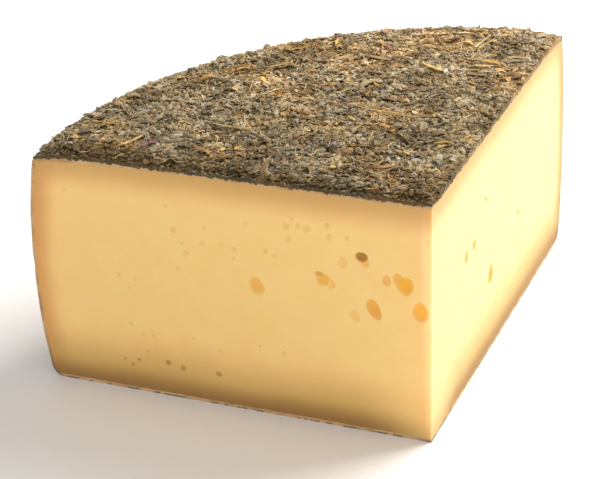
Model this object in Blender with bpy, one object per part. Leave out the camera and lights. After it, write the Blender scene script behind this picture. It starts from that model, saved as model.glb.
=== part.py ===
"""A wedge of hay flower cheese: a quarter cut from a wheel of hard cheese, its top thickly coated with
dried meadow flowers and herbs.

Metres, +Z up. The front cut faces -Y and the other cut faces +X, so the tip of the wedge is at the front
right and the rim of the wheel is behind and to the left. The origin is at the bottom centre of the whole
wedge's box.
"""

import math
import random

import bmesh
import bpy
from mathutils import Matrix, Vector, noise
from mathutils.geometry import delaunay_2d_cdt

MM = 0.001

# The wheel
WHEEL_HEIGHT = 90 * MM
BELLY_RADIUS = 149 * MM
BELLY_HEIGHT = 38 * MM
BELLY_BULGE = 4.0 * MM  # how much the radius falls half a wheel's height above or below the belly
SHOULDER_ROUND = 3.0 * MM
FOOT_ROUND = 5.0 * MM
TOP_FALL = 1.5 * MM  # how far the top sinks towards the shoulder
TOP_FALL_SPAN = 32 * MM
SKIN_WAVE = 0.35 * MM
SKIN_WAVE_LENGTH = 30 * MM
ARC_STEPS = 4
RIM_STEPS = 6
WHEEL_STEPS = 100

# The two cuts, which meet in the tip; the knife leaned, so the tip's foot is a little off its top
WEDGE_ANGLE = math.radians(91.2)
TIP_FOOT = Vector((-2.0 * MM, -1.4 * MM, 0))

# Eyes in the front cut, in millimetres: from the tip, above the base, width, height; and lean in degrees
FRONT_EYES = (
    (62.1, 50.7, 5.5, 6.6, 20),
    (39.4, 59.1, 2.9, 2.4, 0),
    (38.0, 57.3, 4.9, 4.6, 0),
    (35.2, 56.1, 2.9, 3.6, 10),
    (30.8, 65.0, 3.1, 4.7, 0),
    (24.2, 67.8, 4.5, 4.1, 0),
    (22.9, 65.8, 3.1, 3.0, 0),
    (15.6, 60.5, 3.2, 4.4, 0),
    (11.6, 61.6, 4.1, 4.4, 0),
    (9.2, 59.4, 5.8, 7.0, -15),
    (20.2, 48.8, 4.9, 8.1, 25),
    (26.8, 45.1, 3.1, 4.8, 10),
    (4.0, 50.3, 5.4, 8.0, 10),
)
# Small round eyes in the front cut, in millimetres: from the tip, above the base, width
FRONT_PINHOLES = (
    (50.6, 75.6, 3.1),
    (46.3, 76.3, 2.0),
    (43.2, 75.7, 3.0),
    (49.9, 70.9, 2.5),
    (36.0, 77.9, 2.0),
    (35.6, 73.9, 2.7),
    (29.0, 74.2, 2.0),
    (69.9, 63.8, 2.1),
    (58.4, 64.7, 2.1),
    (81.5, 64.2, 2.3),
    (87.9, 59.4, 2.6),
    (92.2, 67.9, 2.9),
    (114.3, 46.7, 2.0),
    (105.3, 16.8, 2.2),
    (97.5, 13.7, 2.8),
    (91.9, 12.4, 2.7),
    (78.2, 12.5, 2.7),
    (77.1, 21.9, 2.2),
    (111.0, 27.4, 2.0),
    (52.9, 25.8, 2.0),
)
# Eyes in the other cut, in millimetres: from the tip, above the base, width, height; and lean in degrees
SIDE_EYES = (
    (35.1, 52.6, 3.4, 5.4, 0),
    (43.3, 52.9, 3.4, 4.6, 0),
    (62.1, 30.7, 5.4, 8.4, 8),
    (92.9, 40.0, 3.4, 2.4, 0),
)
LARGE_EYE = 4.9 * MM
SMALL_EYE = 2.4 * MM
EYE_SINK = 0.06  # how far an eye's middle lies behind the cut, in widths

# The herb coat on the top
COAT_GAP = 0.35 * MM  # clears the cheese
COAT_THICKNESS = 1.7 * MM
COAT_REACH = 0.75  # how much of the shoulder's round it covers
EDGE_RAGGEDNESS = 0.8 * MM
COAT_EDGE = 0.55 * MM
COAT_TAPER = 9 * MM  # the stretch before its edge over which it thins out
COAT_BUMP = 0.7 * MM
COAT_GRID = 4.4 * MM
COAT_UNDERSIDE_GRID = 16 * MM

# The larger pieces in the coat: how many of each, and their shortest and longest
PETALS = 32
PETAL_LENGTH = (6 * MM, 11 * MM)
PETAL_WIDTH = (1.6 * MM, 2.6 * MM)
PETAL_THICKNESS = 0.5 * MM
STEMS = 26
STEM_LENGTH = (5 * MM, 11 * MM)
STEM_RADIUS = 0.5 * MM
STEM_SWAY = 1.2 * MM
LONG_STEMS = 3
LONG_STEM_LENGTH = (17 * MM, 26 * MM)
LONG_STEM_RADIUS = 0.6 * MM
LONG_STEM_SWAY = 2.5 * MM
STEM_ARCH = 0.3 * MM
LEAVES = 14
LEAF_LENGTH = (8 * MM, 13 * MM)
LEAF_PROPORTION = 0.36  # width, in lengths
LEAF_THICKNESS = 0.6 * MM
FLORETS = 16
FLORET_RADIUS = (2.4 * MM, 3.6 * MM)
FLORET_THICKNESS = 1.0 * MM
FLORET_PETALS = 7
PIECE_GAP = 8.5 * MM
PIECE_MARGIN = 7 * MM  # how far the pieces stay from the cuts and the shoulder
LONG_STEM_MARGIN = 16 * MM
PIECE_LIFT = 0.1 * MM
PIECE_TIP = 6  # degrees that a piece may lean either way

# The flakes pressed into the rim
RIM_FLAKES = 18
RIM_FLAKE_GAP = 21 * MM
RIM_FLAKE_MARGIN = 6 * MM
RIM_FLAKE_LENGTH = (4 * MM, 8 * MM)
RIM_FLAKE_PROPORTION = 0.45
RIM_FLAKE_THICKNESS = 0.6 * MM
RIM_FLAKE_ARCH = 0.4 * MM
RIM_FLAKE_LIFT = 0.15 * MM
RIM_FLAKE_TIP = 5

PASTE_COLOUR = (0.80, 0.58, 0.24, 1)
HERB_COLOUR = (0.20, 0.16, 0.09, 1)


def clear_scene():
    for obj in list(bpy.data.objects):
        bpy.data.objects.remove(obj, do_unlink=True)


def make_material(name, colour, roughness):
    material = bpy.data.materials.new(name)
    material.use_nodes = True
    shader = material.node_tree.nodes["Principled BSDF"]
    shader.inputs["Base Color"].default_value = colour
    shader.inputs["Roughness"].default_value = roughness
    shader.inputs["Metallic"].default_value = 0.0
    material.diffuse_color = colour
    return material


def make_object(name, mesh, collection=None):
    obj = bpy.data.objects.new(name, mesh)
    (collection or bpy.context.scene.collection).objects.link(obj)
    return obj


def mesh_from(name, points, faces):
    mesh = bpy.data.meshes.new(name)
    mesh.from_pydata([tuple(point) for point in points], [], faces)
    return mesh


# The wheel's outline


def rim_radius(height):
    steps_from_belly = (height - BELLY_HEIGHT) / (WHEEL_HEIGHT / 2)
    return BELLY_RADIUS - BELLY_BULGE * steps_from_belly**2


def top_height(radius):
    start = rim_radius(WHEEL_HEIGHT) - TOP_FALL_SPAN
    part = max(0.0, (radius - start) / TOP_FALL_SPAN)
    return WHEEL_HEIGHT - TOP_FALL * part**2


def quarter_round(centre_radius, centre_height, size, start_degrees):
    """Points of a quarter circle in the outline, clockwise from start_degrees, 0 being straight up."""
    points = []
    for step in range(ARC_STEPS + 1):
        turn = math.radians(start_degrees + 90 * step / ARC_STEPS)
        points.append((centre_radius + size * math.sin(turn), centre_height + size * math.cos(turn)))
    return points


def wheel_outline():
    """Radius and height, from the middle of the top over shoulder and rim to the middle of the base."""
    shoulder_height = top_height(rim_radius(WHEEL_HEIGHT)) - SHOULDER_ROUND
    shoulder_radius = rim_radius(shoulder_height) - SHOULDER_ROUND
    foot_radius = rim_radius(FOOT_ROUND) - FOOT_ROUND
    flat_end = rim_radius(WHEEL_HEIGHT) - TOP_FALL_SPAN
    points = [(0.0, WHEEL_HEIGHT)]
    for step in range(ARC_STEPS):
        radius = flat_end + (shoulder_radius - flat_end) * step / ARC_STEPS
        points.append((radius, top_height(radius)))
    points += quarter_round(shoulder_radius, shoulder_height, SHOULDER_ROUND, 0)
    for step in range(1, RIM_STEPS):
        height = shoulder_height + (FOOT_ROUND - shoulder_height) * step / RIM_STEPS
        points.append((rim_radius(height), height))
    points += quarter_round(foot_radius, FOOT_ROUND, FOOT_ROUND, 90)
    points.append((0.0, 0.0))
    return points


def outline_lengths(outline):
    lengths = [0.0]
    for (r0, z0), (r1, z1) in zip(outline, outline[1:]):
        lengths.append(lengths[-1] + math.hypot(r1 - r0, z1 - z0))
    return lengths


OUTLINE = wheel_outline()
OUTLINE_LENGTHS = outline_lengths(OUTLINE)
TOP_LENGTH = OUTLINE_LENGTHS[ARC_STEPS + 1]  # from the middle of the top to where the shoulder starts
SHOULDER_LENGTH = SHOULDER_ROUND * math.pi / 2
COAT_LENGTH = TOP_LENGTH + COAT_REACH * SHOULDER_LENGTH


def waved(point):
    """The point moved sideways by the skin's slight unevenness, which fades at the middle and the base."""
    radius = math.hypot(point.x, point.y)
    if radius < MM:
        return point.copy()
    swell = noise.noise(point / SKIN_WAVE_LENGTH) * SKIN_WAVE
    swell *= min(1.0, radius / BELLY_RADIUS) * min(1.0, point.z / FOOT_ROUND)
    return point + Vector((point.x, point.y, 0)) / radius * swell


def skin(length, turn, lift=0.0):
    """Point and outward normal on the wheel's skin.

    length runs along the outline from the middle of the top, and turn is the angle from the front cut.
    """
    index = 1
    while index < len(OUTLINE) - 1 and OUTLINE_LENGTHS[index] < length:
        index += 1
    (r0, z0), (r1, z1) = OUTLINE[index - 1], OUTLINE[index]
    span = OUTLINE_LENGTHS[index] - OUTLINE_LENGTHS[index - 1]
    part = (length - OUTLINE_LENGTHS[index - 1]) / span
    radius = r0 + (r1 - r0) * part
    height = z0 + (z1 - z0) * part
    outward = Vector((-math.cos(turn), math.sin(turn), 0))
    normal = outward * ((z0 - z1) / span) + Vector((0, 0, (r1 - r0) / span))
    point = waved(outward * radius + Vector((0, 0, height)))
    return point + normal * lift, normal


# The cheese


def spun_wheel():
    """The whole wheel, as one closed bmesh."""
    bm = bmesh.new()
    start = math.pi / WHEEL_STEPS
    around = Matrix.Rotation(start, 3, "Z")
    rows = [bm.verts.new(around @ Vector((radius, 0, height))) for radius, height in OUTLINE]
    edges = [bm.edges.new(pair) for pair in zip(rows, rows[1:])]
    bmesh.ops.spin(
        bm, geom=rows + edges, cent=(0, 0, 0), axis=(0, 0, 1), angle=2 * math.pi, steps=WHEEL_STEPS
    )
    bmesh.ops.remove_doubles(bm, verts=bm.verts, dist=0.01 * MM)
    for vertex in bm.verts:
        vertex.co = waved(vertex.co)
    bmesh.ops.recalc_face_normals(bm, faces=bm.faces)
    return bm


def cut_normals():
    """The outward normals of the front cut and of the other cut, which both hold the leaning tip."""
    tip = Vector((0, 0, WHEEL_HEIGHT)) - TIP_FOOT
    front = Vector((-1, 0, 0)).cross(tip).normalized()
    side = tip.cross(Vector((-math.cos(WEDGE_ANGLE), math.sin(WEDGE_ANGLE), 0))).normalized()
    return -front if front.y > 0 else front, -side if side.x < 0 else side


def knife_cut(bm, normal):
    geometry = bm.verts[:] + bm.edges[:] + bm.faces[:]
    cut = bmesh.ops.bisect_plane(
        bm, geom=geometry, dist=0.001 * MM, plane_co=TIP_FOOT, plane_no=normal, clear_outer=True
    )
    loop = [item for item in cut["geom_cut"] if isinstance(item, bmesh.types.BMEdge)]
    bmesh.ops.holes_fill(bm, edges=loop, sides=0)


def tip_edge(height):
    """The point of the leaning tip at a height."""
    return TIP_FOOT * (1 - height / WHEEL_HEIGHT) + Vector((0, 0, height))


def eye_cutter(name, tip_distance, height, width, tall, lean, along, normal, collection):
    """An ellipsoid that leaves one eye in the cut that runs from the tip in the direction along."""
    bm = bmesh.new()
    size = math.sqrt(width * tall)
    fineness = 1 + (size > SMALL_EYE) + (size > LARGE_EYE)
    bmesh.ops.create_icosphere(bm, subdivisions=fineness, radius=0.5)
    bmesh.ops.rotate(bm, matrix=Matrix.Rotation(math.pi / 2, 3, "X"), verts=bm.verts)
    bmesh.ops.scale(bm, vec=(width, (width + tall) / 2, tall), verts=bm.verts)
    mesh = bpy.data.meshes.new(name)
    bm.to_mesh(mesh)
    bm.free()
    cutter = make_object(name, mesh, collection)
    upright = normal.cross(along)
    if upright.z < 0:
        upright = -upright
    place = tip_edge(height) + along * tip_distance - normal * (EYE_SINK * width)
    frame = Matrix((along, normal, upright)).transposed()
    tilt = Matrix.Rotation(math.radians(lean), 3, "Y")
    cutter.matrix_world = Matrix.Translation(place) @ (frame @ tilt).to_4x4()
    cutter.hide_render = True
    cutter.display_type = "WIRE"


def make_eyes(front_normal, side_normal):
    """A collection of cutters for every eye in the two cuts."""
    cutters = bpy.data.collections.new("eyes")
    bpy.context.scene.collection.children.link(cutters)
    front = Vector((-1, 0, 0))
    side = Vector((-math.cos(WEDGE_ANGLE), math.sin(WEDGE_ANGLE), 0))
    round_eyes = tuple((along, height, width, width, 0) for along, height, width in FRONT_PINHOLES)
    cuts = ((FRONT_EYES + round_eyes, front, front_normal), (SIDE_EYES, side, side_normal))
    for eyes, along, normal in cuts:
        for tip_distance, height, width, tall, lean in eyes:
            name = f"eye_{len(cutters.objects)}"
            sizes = [value * MM for value in (tip_distance, height, width, tall)]
            eye_cutter(name, *sizes, lean, along, normal, cutters)
    return cutters


def apply_boolean(obj, collection, operation):
    """Joins the collection to the object or cuts it away, then removes the collection's objects."""
    boolean = obj.modifiers.new(operation.lower(), "BOOLEAN")
    boolean.operation = operation
    boolean.operand_type = "COLLECTION"
    boolean.collection = collection
    boolean.solver = "EXACT"
    bpy.context.view_layer.update()
    graph = bpy.context.evaluated_depsgraph_get()
    result = bpy.data.meshes.new_from_object(obj.evaluated_get(graph))
    obj.modifiers.clear()
    obj.data = result
    for helper in list(collection.objects):
        bpy.data.objects.remove(helper, do_unlink=True)
    bpy.data.collections.remove(collection)


def keep_largest_body(obj):
    """Drops loose scraps and the walls of sealed hollows, which are all islands of their own."""
    bm = bmesh.new()
    bm.from_mesh(obj.data)
    unseen = set(bm.verts)
    islands = []
    while unseen:
        front = [unseen.pop()]
        island = list(front)
        while front:
            vertex = front.pop()
            for edge in vertex.link_edges:
                other = edge.other_vert(vertex)
                if other in unseen:
                    unseen.remove(other)
                    front.append(other)
                    island.append(other)
        islands.append(island)
    islands.sort(key=len)
    scraps = [vertex for island in islands[:-1] for vertex in island]
    bmesh.ops.delete(bm, geom=scraps, context="VERTS")
    bmesh.ops.triangulate(bm, faces=bm.faces)
    bm.to_mesh(obj.data)
    bm.free()


def make_cheese(rng):
    """The paste and its rind as one solid, with the opened eyes and the flakes pressed on the rim."""
    bm = spun_wheel()
    front_normal, side_normal = cut_normals()
    knife_cut(bm, front_normal)
    knife_cut(bm, side_normal)
    bmesh.ops.recalc_face_normals(bm, faces=bm.faces)
    mesh = bpy.data.meshes.new("cheese_wedge")
    bm.to_mesh(mesh)
    bm.free()
    cheese = make_object("cheese_wedge", mesh)
    apply_boolean(cheese, make_eyes(front_normal, side_normal), "DIFFERENCE")
    apply_boolean(cheese, make_rim_flakes(rng), "UNION")
    keep_largest_body(cheese)
    cheese.data.materials.clear()
    cheese.data.materials.append(make_material("paste", PASTE_COLOUR, 0.55))
    return cheese


# Shapes of the larger herb pieces, each lying on the XY plane with its length along X


def blade(name, length, width, thickness, arch, twist, columns, rows):
    """A thin wavy leaf or petal. Both of its faces are split into triangles alike."""
    points = []
    for side in (1, -1):
        for row in range(rows + 1):
            part = row / rows
            half = width / 2 * (0.3 + 0.7 * math.sin(math.pi * part) ** 0.8)
            for column in range(columns + 1):
                across = 2 * column / columns - 1
                height = arch * math.sin(math.pi * part) + twist * across * (part - 0.5)
                height += 0.1 * width * abs(across)
                points.append((length * (part - 0.5), half * across, height + side * thickness / 2))
    across_count = columns + 1
    layer = across_count * (rows + 1)
    faces = []
    for row in range(rows):
        for column in range(columns):
            a = row * across_count + column
            b, c, d = a + 1, a + across_count + 1, a + across_count
            faces += [(a, d, c), (a, c, b)]
            faces += [(a + layer, c + layer, d + layer), (a + layer, b + layer, c + layer)]
    ring = [row * across_count for row in range(rows + 1)]
    ring += [rows * across_count + column for column in range(1, across_count)]
    ring += [row * across_count + columns for row in range(rows - 1, -1, -1)]
    ring += [column for column in range(columns - 1, 0, -1)]
    for a, b in zip(ring, ring[1:] + ring[:1]):
        faces.append((a, a + layer, b + layer))
        faces.append((a, b + layer, b))
    return mesh_from(name, points, faces)


def stem(name, length, radius, arch, sway, sides, segments):
    """A bent bit of straw."""
    points = []
    for step in range(segments + 1):
        part = step / segments
        bend = math.sin(math.pi * part)
        centre = Vector((length * (part - 0.5), sway * bend, arch * bend))
        for side in range(sides):
            turn = 2 * math.pi * side / sides
            points.append(centre + Vector((0, math.cos(turn), math.sin(turn))) * radius)
    faces = []
    for step in range(segments):
        for side in range(sides):
            a = step * sides + side
            b = step * sides + (side + 1) % sides
            faces.append((a, b, b + sides, a + sides))
    faces.append(tuple(reversed(range(sides))))
    faces.append(tuple(range(segments * sides, (segments + 1) * sides)))
    return mesh_from(name, points, faces)


def floret(name, radius, thickness, petals):
    """A small dried flower head, seen as a ruffled disc."""
    points = [(0, 0, thickness), (0, 0, -thickness)]
    for step in range(2 * petals):
        turn = math.pi * step / petals
        reach = radius if step % 2 else 0.55 * radius
        points.append((reach * math.cos(turn), reach * math.sin(turn), 0.4 * thickness if step % 2 else 0))
    faces = []
    for step in range(2 * petals):
        a, b = 2 + step, 2 + (step + 1) % (2 * petals)
        faces += [(0, a, b), (1, b, a)]
    return mesh_from(name, points, faces)


# Spreading pieces over the skin


def spread(rng, count, gap, first_length, last_length, margin, taken=()):
    """Evenly scattered places on the skin, as (length, turn), about gap apart and margin from the cuts.

    They also keep that distance from the places already taken, which the result starts with.
    """
    places = [(length, turn, skin(length, turn)[0]) for length, turn in taken]
    while len(places) < count + len(taken):
        length = math.sqrt(rng.uniform(first_length**2, last_length**2))
        radius = min(length, BELLY_RADIUS)
        turn = rng.uniform(0, WEDGE_ANGLE)
        if min(turn, WEDGE_ANGLE - turn) * radius < margin:
            continue
        spot = skin(length, turn)[0]
        if all((spot - other).length > gap for _, _, other in places):
            places.append((length, turn, spot))
        gap *= 0.9995
    return [(length, turn) for length, turn, _ in places]


def lay(name, mesh, collection, place, lift, heading, tip):
    """Lays a piece on the skin at a place, turned by heading and tipped a little."""
    length, turn = place
    point, normal = skin(length, turn, lift)
    across = Vector((math.sin(turn), math.cos(turn), 0))
    frame = Matrix((across, normal.cross(across), normal)).transposed()
    spin = Matrix.Rotation(heading, 3, "Z") @ Matrix.Rotation(tip, 3, "Y")
    piece = make_object(name, mesh, collection)
    piece.matrix_world = Matrix.Translation(point) @ (frame @ spin).to_4x4()
    return piece


def make_rim_flakes(rng):
    """Thin leaf flakes pressed into the rind round the rim."""
    flakes = bpy.data.collections.new("rim_flakes")
    bpy.context.scene.collection.children.link(flakes)
    rim_start = COAT_LENGTH + RIM_FLAKE_MARGIN
    rim_end = TOP_LENGTH + WHEEL_HEIGHT - FOOT_ROUND - RIM_FLAKE_MARGIN
    places = spread(rng, RIM_FLAKES, RIM_FLAKE_GAP, rim_start, rim_end, RIM_FLAKE_MARGIN)
    for index, place in enumerate(places):
        length = rng.uniform(*RIM_FLAKE_LENGTH)
        width = RIM_FLAKE_PROPORTION * length
        mesh = blade(f"rim_flake_{index}", length, width, RIM_FLAKE_THICKNESS, RIM_FLAKE_ARCH, 0, 1, 2)
        tip = math.radians(rng.uniform(-RIM_FLAKE_TIP, RIM_FLAKE_TIP))
        lay(mesh.name, mesh, flakes, place, RIM_FLAKE_LIFT, rng.uniform(0, math.tau), tip)
    return flakes


def piece_mesh(rng, kind, name):
    """One petal, leaf, flower head or stem of a random size."""
    if kind == "petal":
        length = rng.uniform(*PETAL_LENGTH)
        return blade(name, length, rng.uniform(*PETAL_WIDTH), PETAL_THICKNESS, 0.5 * MM, 0.6 * MM, 1, 3)
    if kind == "leaf":
        length = rng.uniform(*LEAF_LENGTH)
        return blade(name, length, LEAF_PROPORTION * length, LEAF_THICKNESS, 0.6 * MM, 0.8 * MM, 2, 4)
    if kind == "floret":
        return floret(name, rng.uniform(*FLORET_RADIUS), FLORET_THICKNESS, FLORET_PETALS)
    if kind == "stem":
        sway = rng.uniform(-STEM_SWAY, STEM_SWAY)
        return stem(name, rng.uniform(*STEM_LENGTH), STEM_RADIUS, STEM_ARCH, sway, 4, 3)
    sway = rng.uniform(-LONG_STEM_SWAY, LONG_STEM_SWAY)
    return stem(name, rng.uniform(*LONG_STEM_LENGTH), LONG_STEM_RADIUS, STEM_ARCH, sway, 4, 6)


def make_coat_pieces(rng):
    """The petals, stems, leaves and flower heads that stand out of the herb coat."""
    pieces = bpy.data.collections.new("coat_pieces")
    bpy.context.scene.collection.children.link(pieces)
    kinds = ["leaf"] * LEAVES + ["floret"] * FLORETS + ["petal"] * PETALS + ["stem"] * STEMS
    rng.shuffle(kinds)
    last = TOP_LENGTH - PIECE_MARGIN
    long_last = last - PIECE_MARGIN
    long_places = spread(rng, LONG_STEMS, 4 * PIECE_GAP, 30 * MM, long_last, LONG_STEM_MARGIN)
    places = spread(rng, len(kinds), PIECE_GAP, PIECE_MARGIN, last, PIECE_MARGIN, long_places)
    kinds = ["long_stem"] * LONG_STEMS + kinds
    for index, (kind, place) in enumerate(zip(kinds, places)):
        mesh = piece_mesh(rng, kind, f"{kind}_{index}")
        tip = 0.0 if kind == "long_stem" else math.radians(rng.uniform(-PIECE_TIP, PIECE_TIP))
        lift = COAT_GAP + COAT_THICKNESS + PIECE_LIFT
        lay(mesh.name, mesh, pieces, place, lift, rng.uniform(0, math.tau), tip)
    return pieces


# The herb coat


def flat_point(length, turn):
    """A place on the skin in the coat's flat cutting plan, a plain sector of a circle."""
    return Vector((length * math.cos(turn), length * math.sin(turn)))


def place_of(flat):
    return flat.length, math.atan2(flat.y, flat.x)


def cut_lengths():
    """Steps along a cut, from the tip to the coat's edge, closer together round the shoulder."""
    straight = round(TOP_LENGTH / COAT_GRID)
    lengths = [TOP_LENGTH * step / straight for step in range(straight)]
    lengths += [TOP_LENGTH + (COAT_LENGTH - TOP_LENGTH) * step / ARC_STEPS for step in range(ARC_STEPS + 1)]
    return lengths


def coat_border(rng):
    """The border of the coat's plan: out along the front cut, round the rim, back along the other."""
    lengths = cut_lengths()
    curved = round(COAT_LENGTH * WEDGE_ANGLE / COAT_GRID)
    border = [flat_point(length, 0) for length in lengths[:-1]]
    for step in range(curved):
        ragged = rng.uniform(0, EDGE_RAGGEDNESS) if step else 0.0
        border.append(flat_point(COAT_LENGTH - ragged, WEDGE_ANGLE * step / curved))
    border += [flat_point(length, WEDGE_ANGLE) for length in reversed(lengths[1:])]
    return border


def inside_sector(flat, margin):
    length, turn = place_of(flat)
    if length > COAT_LENGTH - margin or turn < 0 or turn > WEDGE_ANGLE:
        return False
    return length * math.sin(turn) > margin and length * math.sin(WEDGE_ANGLE - turn) > margin


def honeycomb(rng, pitch, jitter, margin, last_length):
    """Jittered honeycomb points inside the cutting plan, out to last_length."""
    points = []
    rows = math.ceil(COAT_LENGTH / (pitch * math.sqrt(0.75)))
    columns = math.ceil(COAT_LENGTH / pitch)
    for row in range(rows + 1):
        for column in range(-columns // 8, columns + 1):
            flat = Vector(((column + 0.5 * (row % 2)) * pitch, row * pitch * math.sqrt(0.75)))
            flat += Vector((rng.uniform(-jitter, jitter), rng.uniform(-jitter, jitter)))
            if inside_sector(flat, margin) and flat.length < last_length:
                points.append(flat)
    return points


def triangulated(border, inner):
    """Triangles over the cutting plan, with the border's points first."""
    points = border + inner
    edges = [(index, (index + 1) % len(border)) for index in range(len(border))]
    flats, _, faces, origins, _, _ = delaunay_2d_cdt(points, edges, [], 1, 1e-7)
    source = {index: origin[0] for index, origin in enumerate(origins) if origin}
    return [tuple(source[index] for index in face) for face in faces], points


def coat_surface(rng, flat):
    """A point of the coat's uneven upper side."""
    length, turn = place_of(flat)
    thinning = max(0.0, min(1.0, (COAT_LENGTH - length) / COAT_TAPER))
    thickness = COAT_EDGE + (COAT_THICKNESS - COAT_EDGE) * thinning
    bump = COAT_BUMP * thinning * rng.uniform(-1, 1)
    return skin(length, turn, COAT_GAP + thickness + bump)[0]


def coat_underside(flat):
    length, turn = place_of(flat)
    return skin(length, turn, COAT_GAP)[0]


def shoulder_rows(steps, pitch):
    """Rows of points that make the coat follow the round of the shoulder."""
    count = round(COAT_LENGTH * WEDGE_ANGLE / pitch)
    last = COAT_LENGTH - 2 * EDGE_RAGGEDNESS
    lengths = [TOP_LENGTH + (last - TOP_LENGTH) * step / steps for step in range(steps + 1)]
    turns = [WEDGE_ANGLE * (step + 0.5) / count for step in range(count)]
    return [flat_point(length, turn) for length in lengths for turn in turns]


def make_coat(rng):
    """The layer of crushed herbs over the top, as one solid with its larger pieces."""
    border = coat_border(rng)
    fine = honeycomb(rng, COAT_GRID, 0.25 * COAT_GRID, 0.5 * COAT_GRID, TOP_LENGTH - 0.5 * COAT_GRID)
    upper_faces, upper = triangulated(border, fine + shoulder_rows(1, COAT_GRID))
    coarse = honeycomb(rng, COAT_UNDERSIDE_GRID, 0.0, 0.4 * COAT_UNDERSIDE_GRID, TOP_LENGTH - 5 * MM)
    lower_faces, lower = triangulated(border, coarse + shoulder_rows(2, 0.6 * COAT_GRID))
    points = [coat_surface(rng, flat) for flat in upper] + [coat_underside(flat) for flat in lower]
    shift = len(upper)
    faces = list(upper_faces)
    faces += [tuple(index + shift for index in reversed(face)) for face in lower_faces]
    for index in range(len(border)):
        following = (index + 1) % len(border)
        faces.append((index, index + shift, following + shift, following))
    bm = bmesh.new()
    mesh = mesh_from("hay_flower_crust", points, faces)
    bm.from_mesh(mesh)
    bmesh.ops.triangulate(bm, faces=bm.faces)
    bmesh.ops.recalc_face_normals(bm, faces=bm.faces)
    bm.to_mesh(mesh)
    bm.free()
    coat = make_object("hay_flower_crust", mesh)
    apply_boolean(coat, make_coat_pieces(rng), "UNION")
    keep_largest_body(coat)
    coat.data.materials.clear()
    coat.data.materials.append(make_material("dried_herbs", HERB_COLOUR, 0.9))
    return coat


def stand_on_origin(objects):
    """Moves the objects together, so that the origin is at the bottom centre of their common box."""
    bpy.context.view_layer.update()
    corners = [obj.matrix_world @ vertex.co for obj in objects for vertex in obj.data.vertices]
    low = Vector([min(corner[axis] for corner in corners) for axis in range(3)])
    high = Vector([max(corner[axis] for corner in corners) for axis in range(3)])
    for obj in objects:
        obj.location -= Vector(((low.x + high.x) / 2, (low.y + high.y) / 2, low.z))


def main():
    clear_scene()
    rng = random.Random(20)
    cheese = make_cheese(rng)
    coat = make_coat(rng)
    stand_on_origin([cheese, coat])
    for obj in (cheese, coat):
        obj.data.shade_smooth()
        obj.data.set_sharp_from_angle(angle=math.radians(35))


main()
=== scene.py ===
"""The looks of a quarter wedge of hay flower cheese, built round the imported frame.

The paste is modelled with its eyes and its rind, and the top carries a matted layer of crushed meadow herbs
under thousands of loose leaf flakes, straws and petals. Everything is in metres, with +Z up.
"""

import logging
import math
from dataclasses import astuple, dataclass, replace
from enum import Enum

import bmesh
import bpy
import numpy as np
from mathutils import Matrix, Vector, noise
from mathutils.geometry import delaunay_2d_cdt

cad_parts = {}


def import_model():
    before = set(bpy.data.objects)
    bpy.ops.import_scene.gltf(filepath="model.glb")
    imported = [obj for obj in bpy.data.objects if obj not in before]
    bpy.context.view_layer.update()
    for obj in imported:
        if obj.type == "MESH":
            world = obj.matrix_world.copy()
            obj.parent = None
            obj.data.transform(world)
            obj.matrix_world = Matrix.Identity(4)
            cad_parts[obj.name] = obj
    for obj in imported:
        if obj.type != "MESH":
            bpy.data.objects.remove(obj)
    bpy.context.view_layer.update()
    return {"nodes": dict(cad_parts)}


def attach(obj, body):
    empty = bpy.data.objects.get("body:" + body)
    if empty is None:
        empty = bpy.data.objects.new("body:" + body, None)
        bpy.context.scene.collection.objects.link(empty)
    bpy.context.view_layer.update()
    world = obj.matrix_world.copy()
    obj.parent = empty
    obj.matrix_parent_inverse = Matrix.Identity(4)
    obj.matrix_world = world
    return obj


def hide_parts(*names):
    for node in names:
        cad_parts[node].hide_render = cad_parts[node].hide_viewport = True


MM = 0.001
LOG = logging.getLogger("hay_flower_cheese")

Pair = tuple[float, float]
Triple = tuple[float, float, float]
Colour = tuple[float, float, float, float]
Stops = tuple[tuple[float, Colour], ...]
Faces = list[tuple[int, ...]]
Socket = bpy.types.NodeSocket


def mm(*values: float) -> tuple[float, ...]:
    """Millimetres as metres."""
    return tuple(value * MM for value in values)


def photo_colour(red: int, green: int, blue: int) -> Colour:
    """Turns a screen colour, 0 to 255 a channel, into the linear colour that a shader takes.

    Args:
        red: The red channel.
        green: The green channel.
        blue: The blue channel.

    Returns:
        The linear colour with an alpha of 1.
    """
    linear = []
    for channel in (red, green, blue):
        value = channel / 255
        linear.append(value / 12.92 if value <= 0.04045 else ((value + 0.055) / 1.055) ** 2.4)
    return (linear[0], linear[1], linear[2], 1.0)


def shades(*rows: tuple[float, int, int, int]) -> Stops:
    """The stops of a colour ramp, from rows of a place from 0 to 1 and a screen colour."""
    return tuple((place, photo_colour(*colour)) for place, *colour in rows)


def noise_at(points: np.ndarray, wavelength: float, offset: float = 0.0) -> np.ndarray:
    """Smooth noise at each point, from about -1 to 1. It changes over a wavelength, and an offset shifts it."""
    shift = Vector((offset, 1.7 * offset, -offset))
    return np.array([noise.noise(Vector(point) / wavelength + shift) for point in points.tolist()])


def ripples(points: np.ndarray, layers: tuple[Triple, ...]) -> np.ndarray:
    """Layers of noise at each point, added up, each with its share, wavelength and offset."""
    return sum(share * noise_at(points, wavelength, offset) for share, wavelength, offset in layers)


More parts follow.
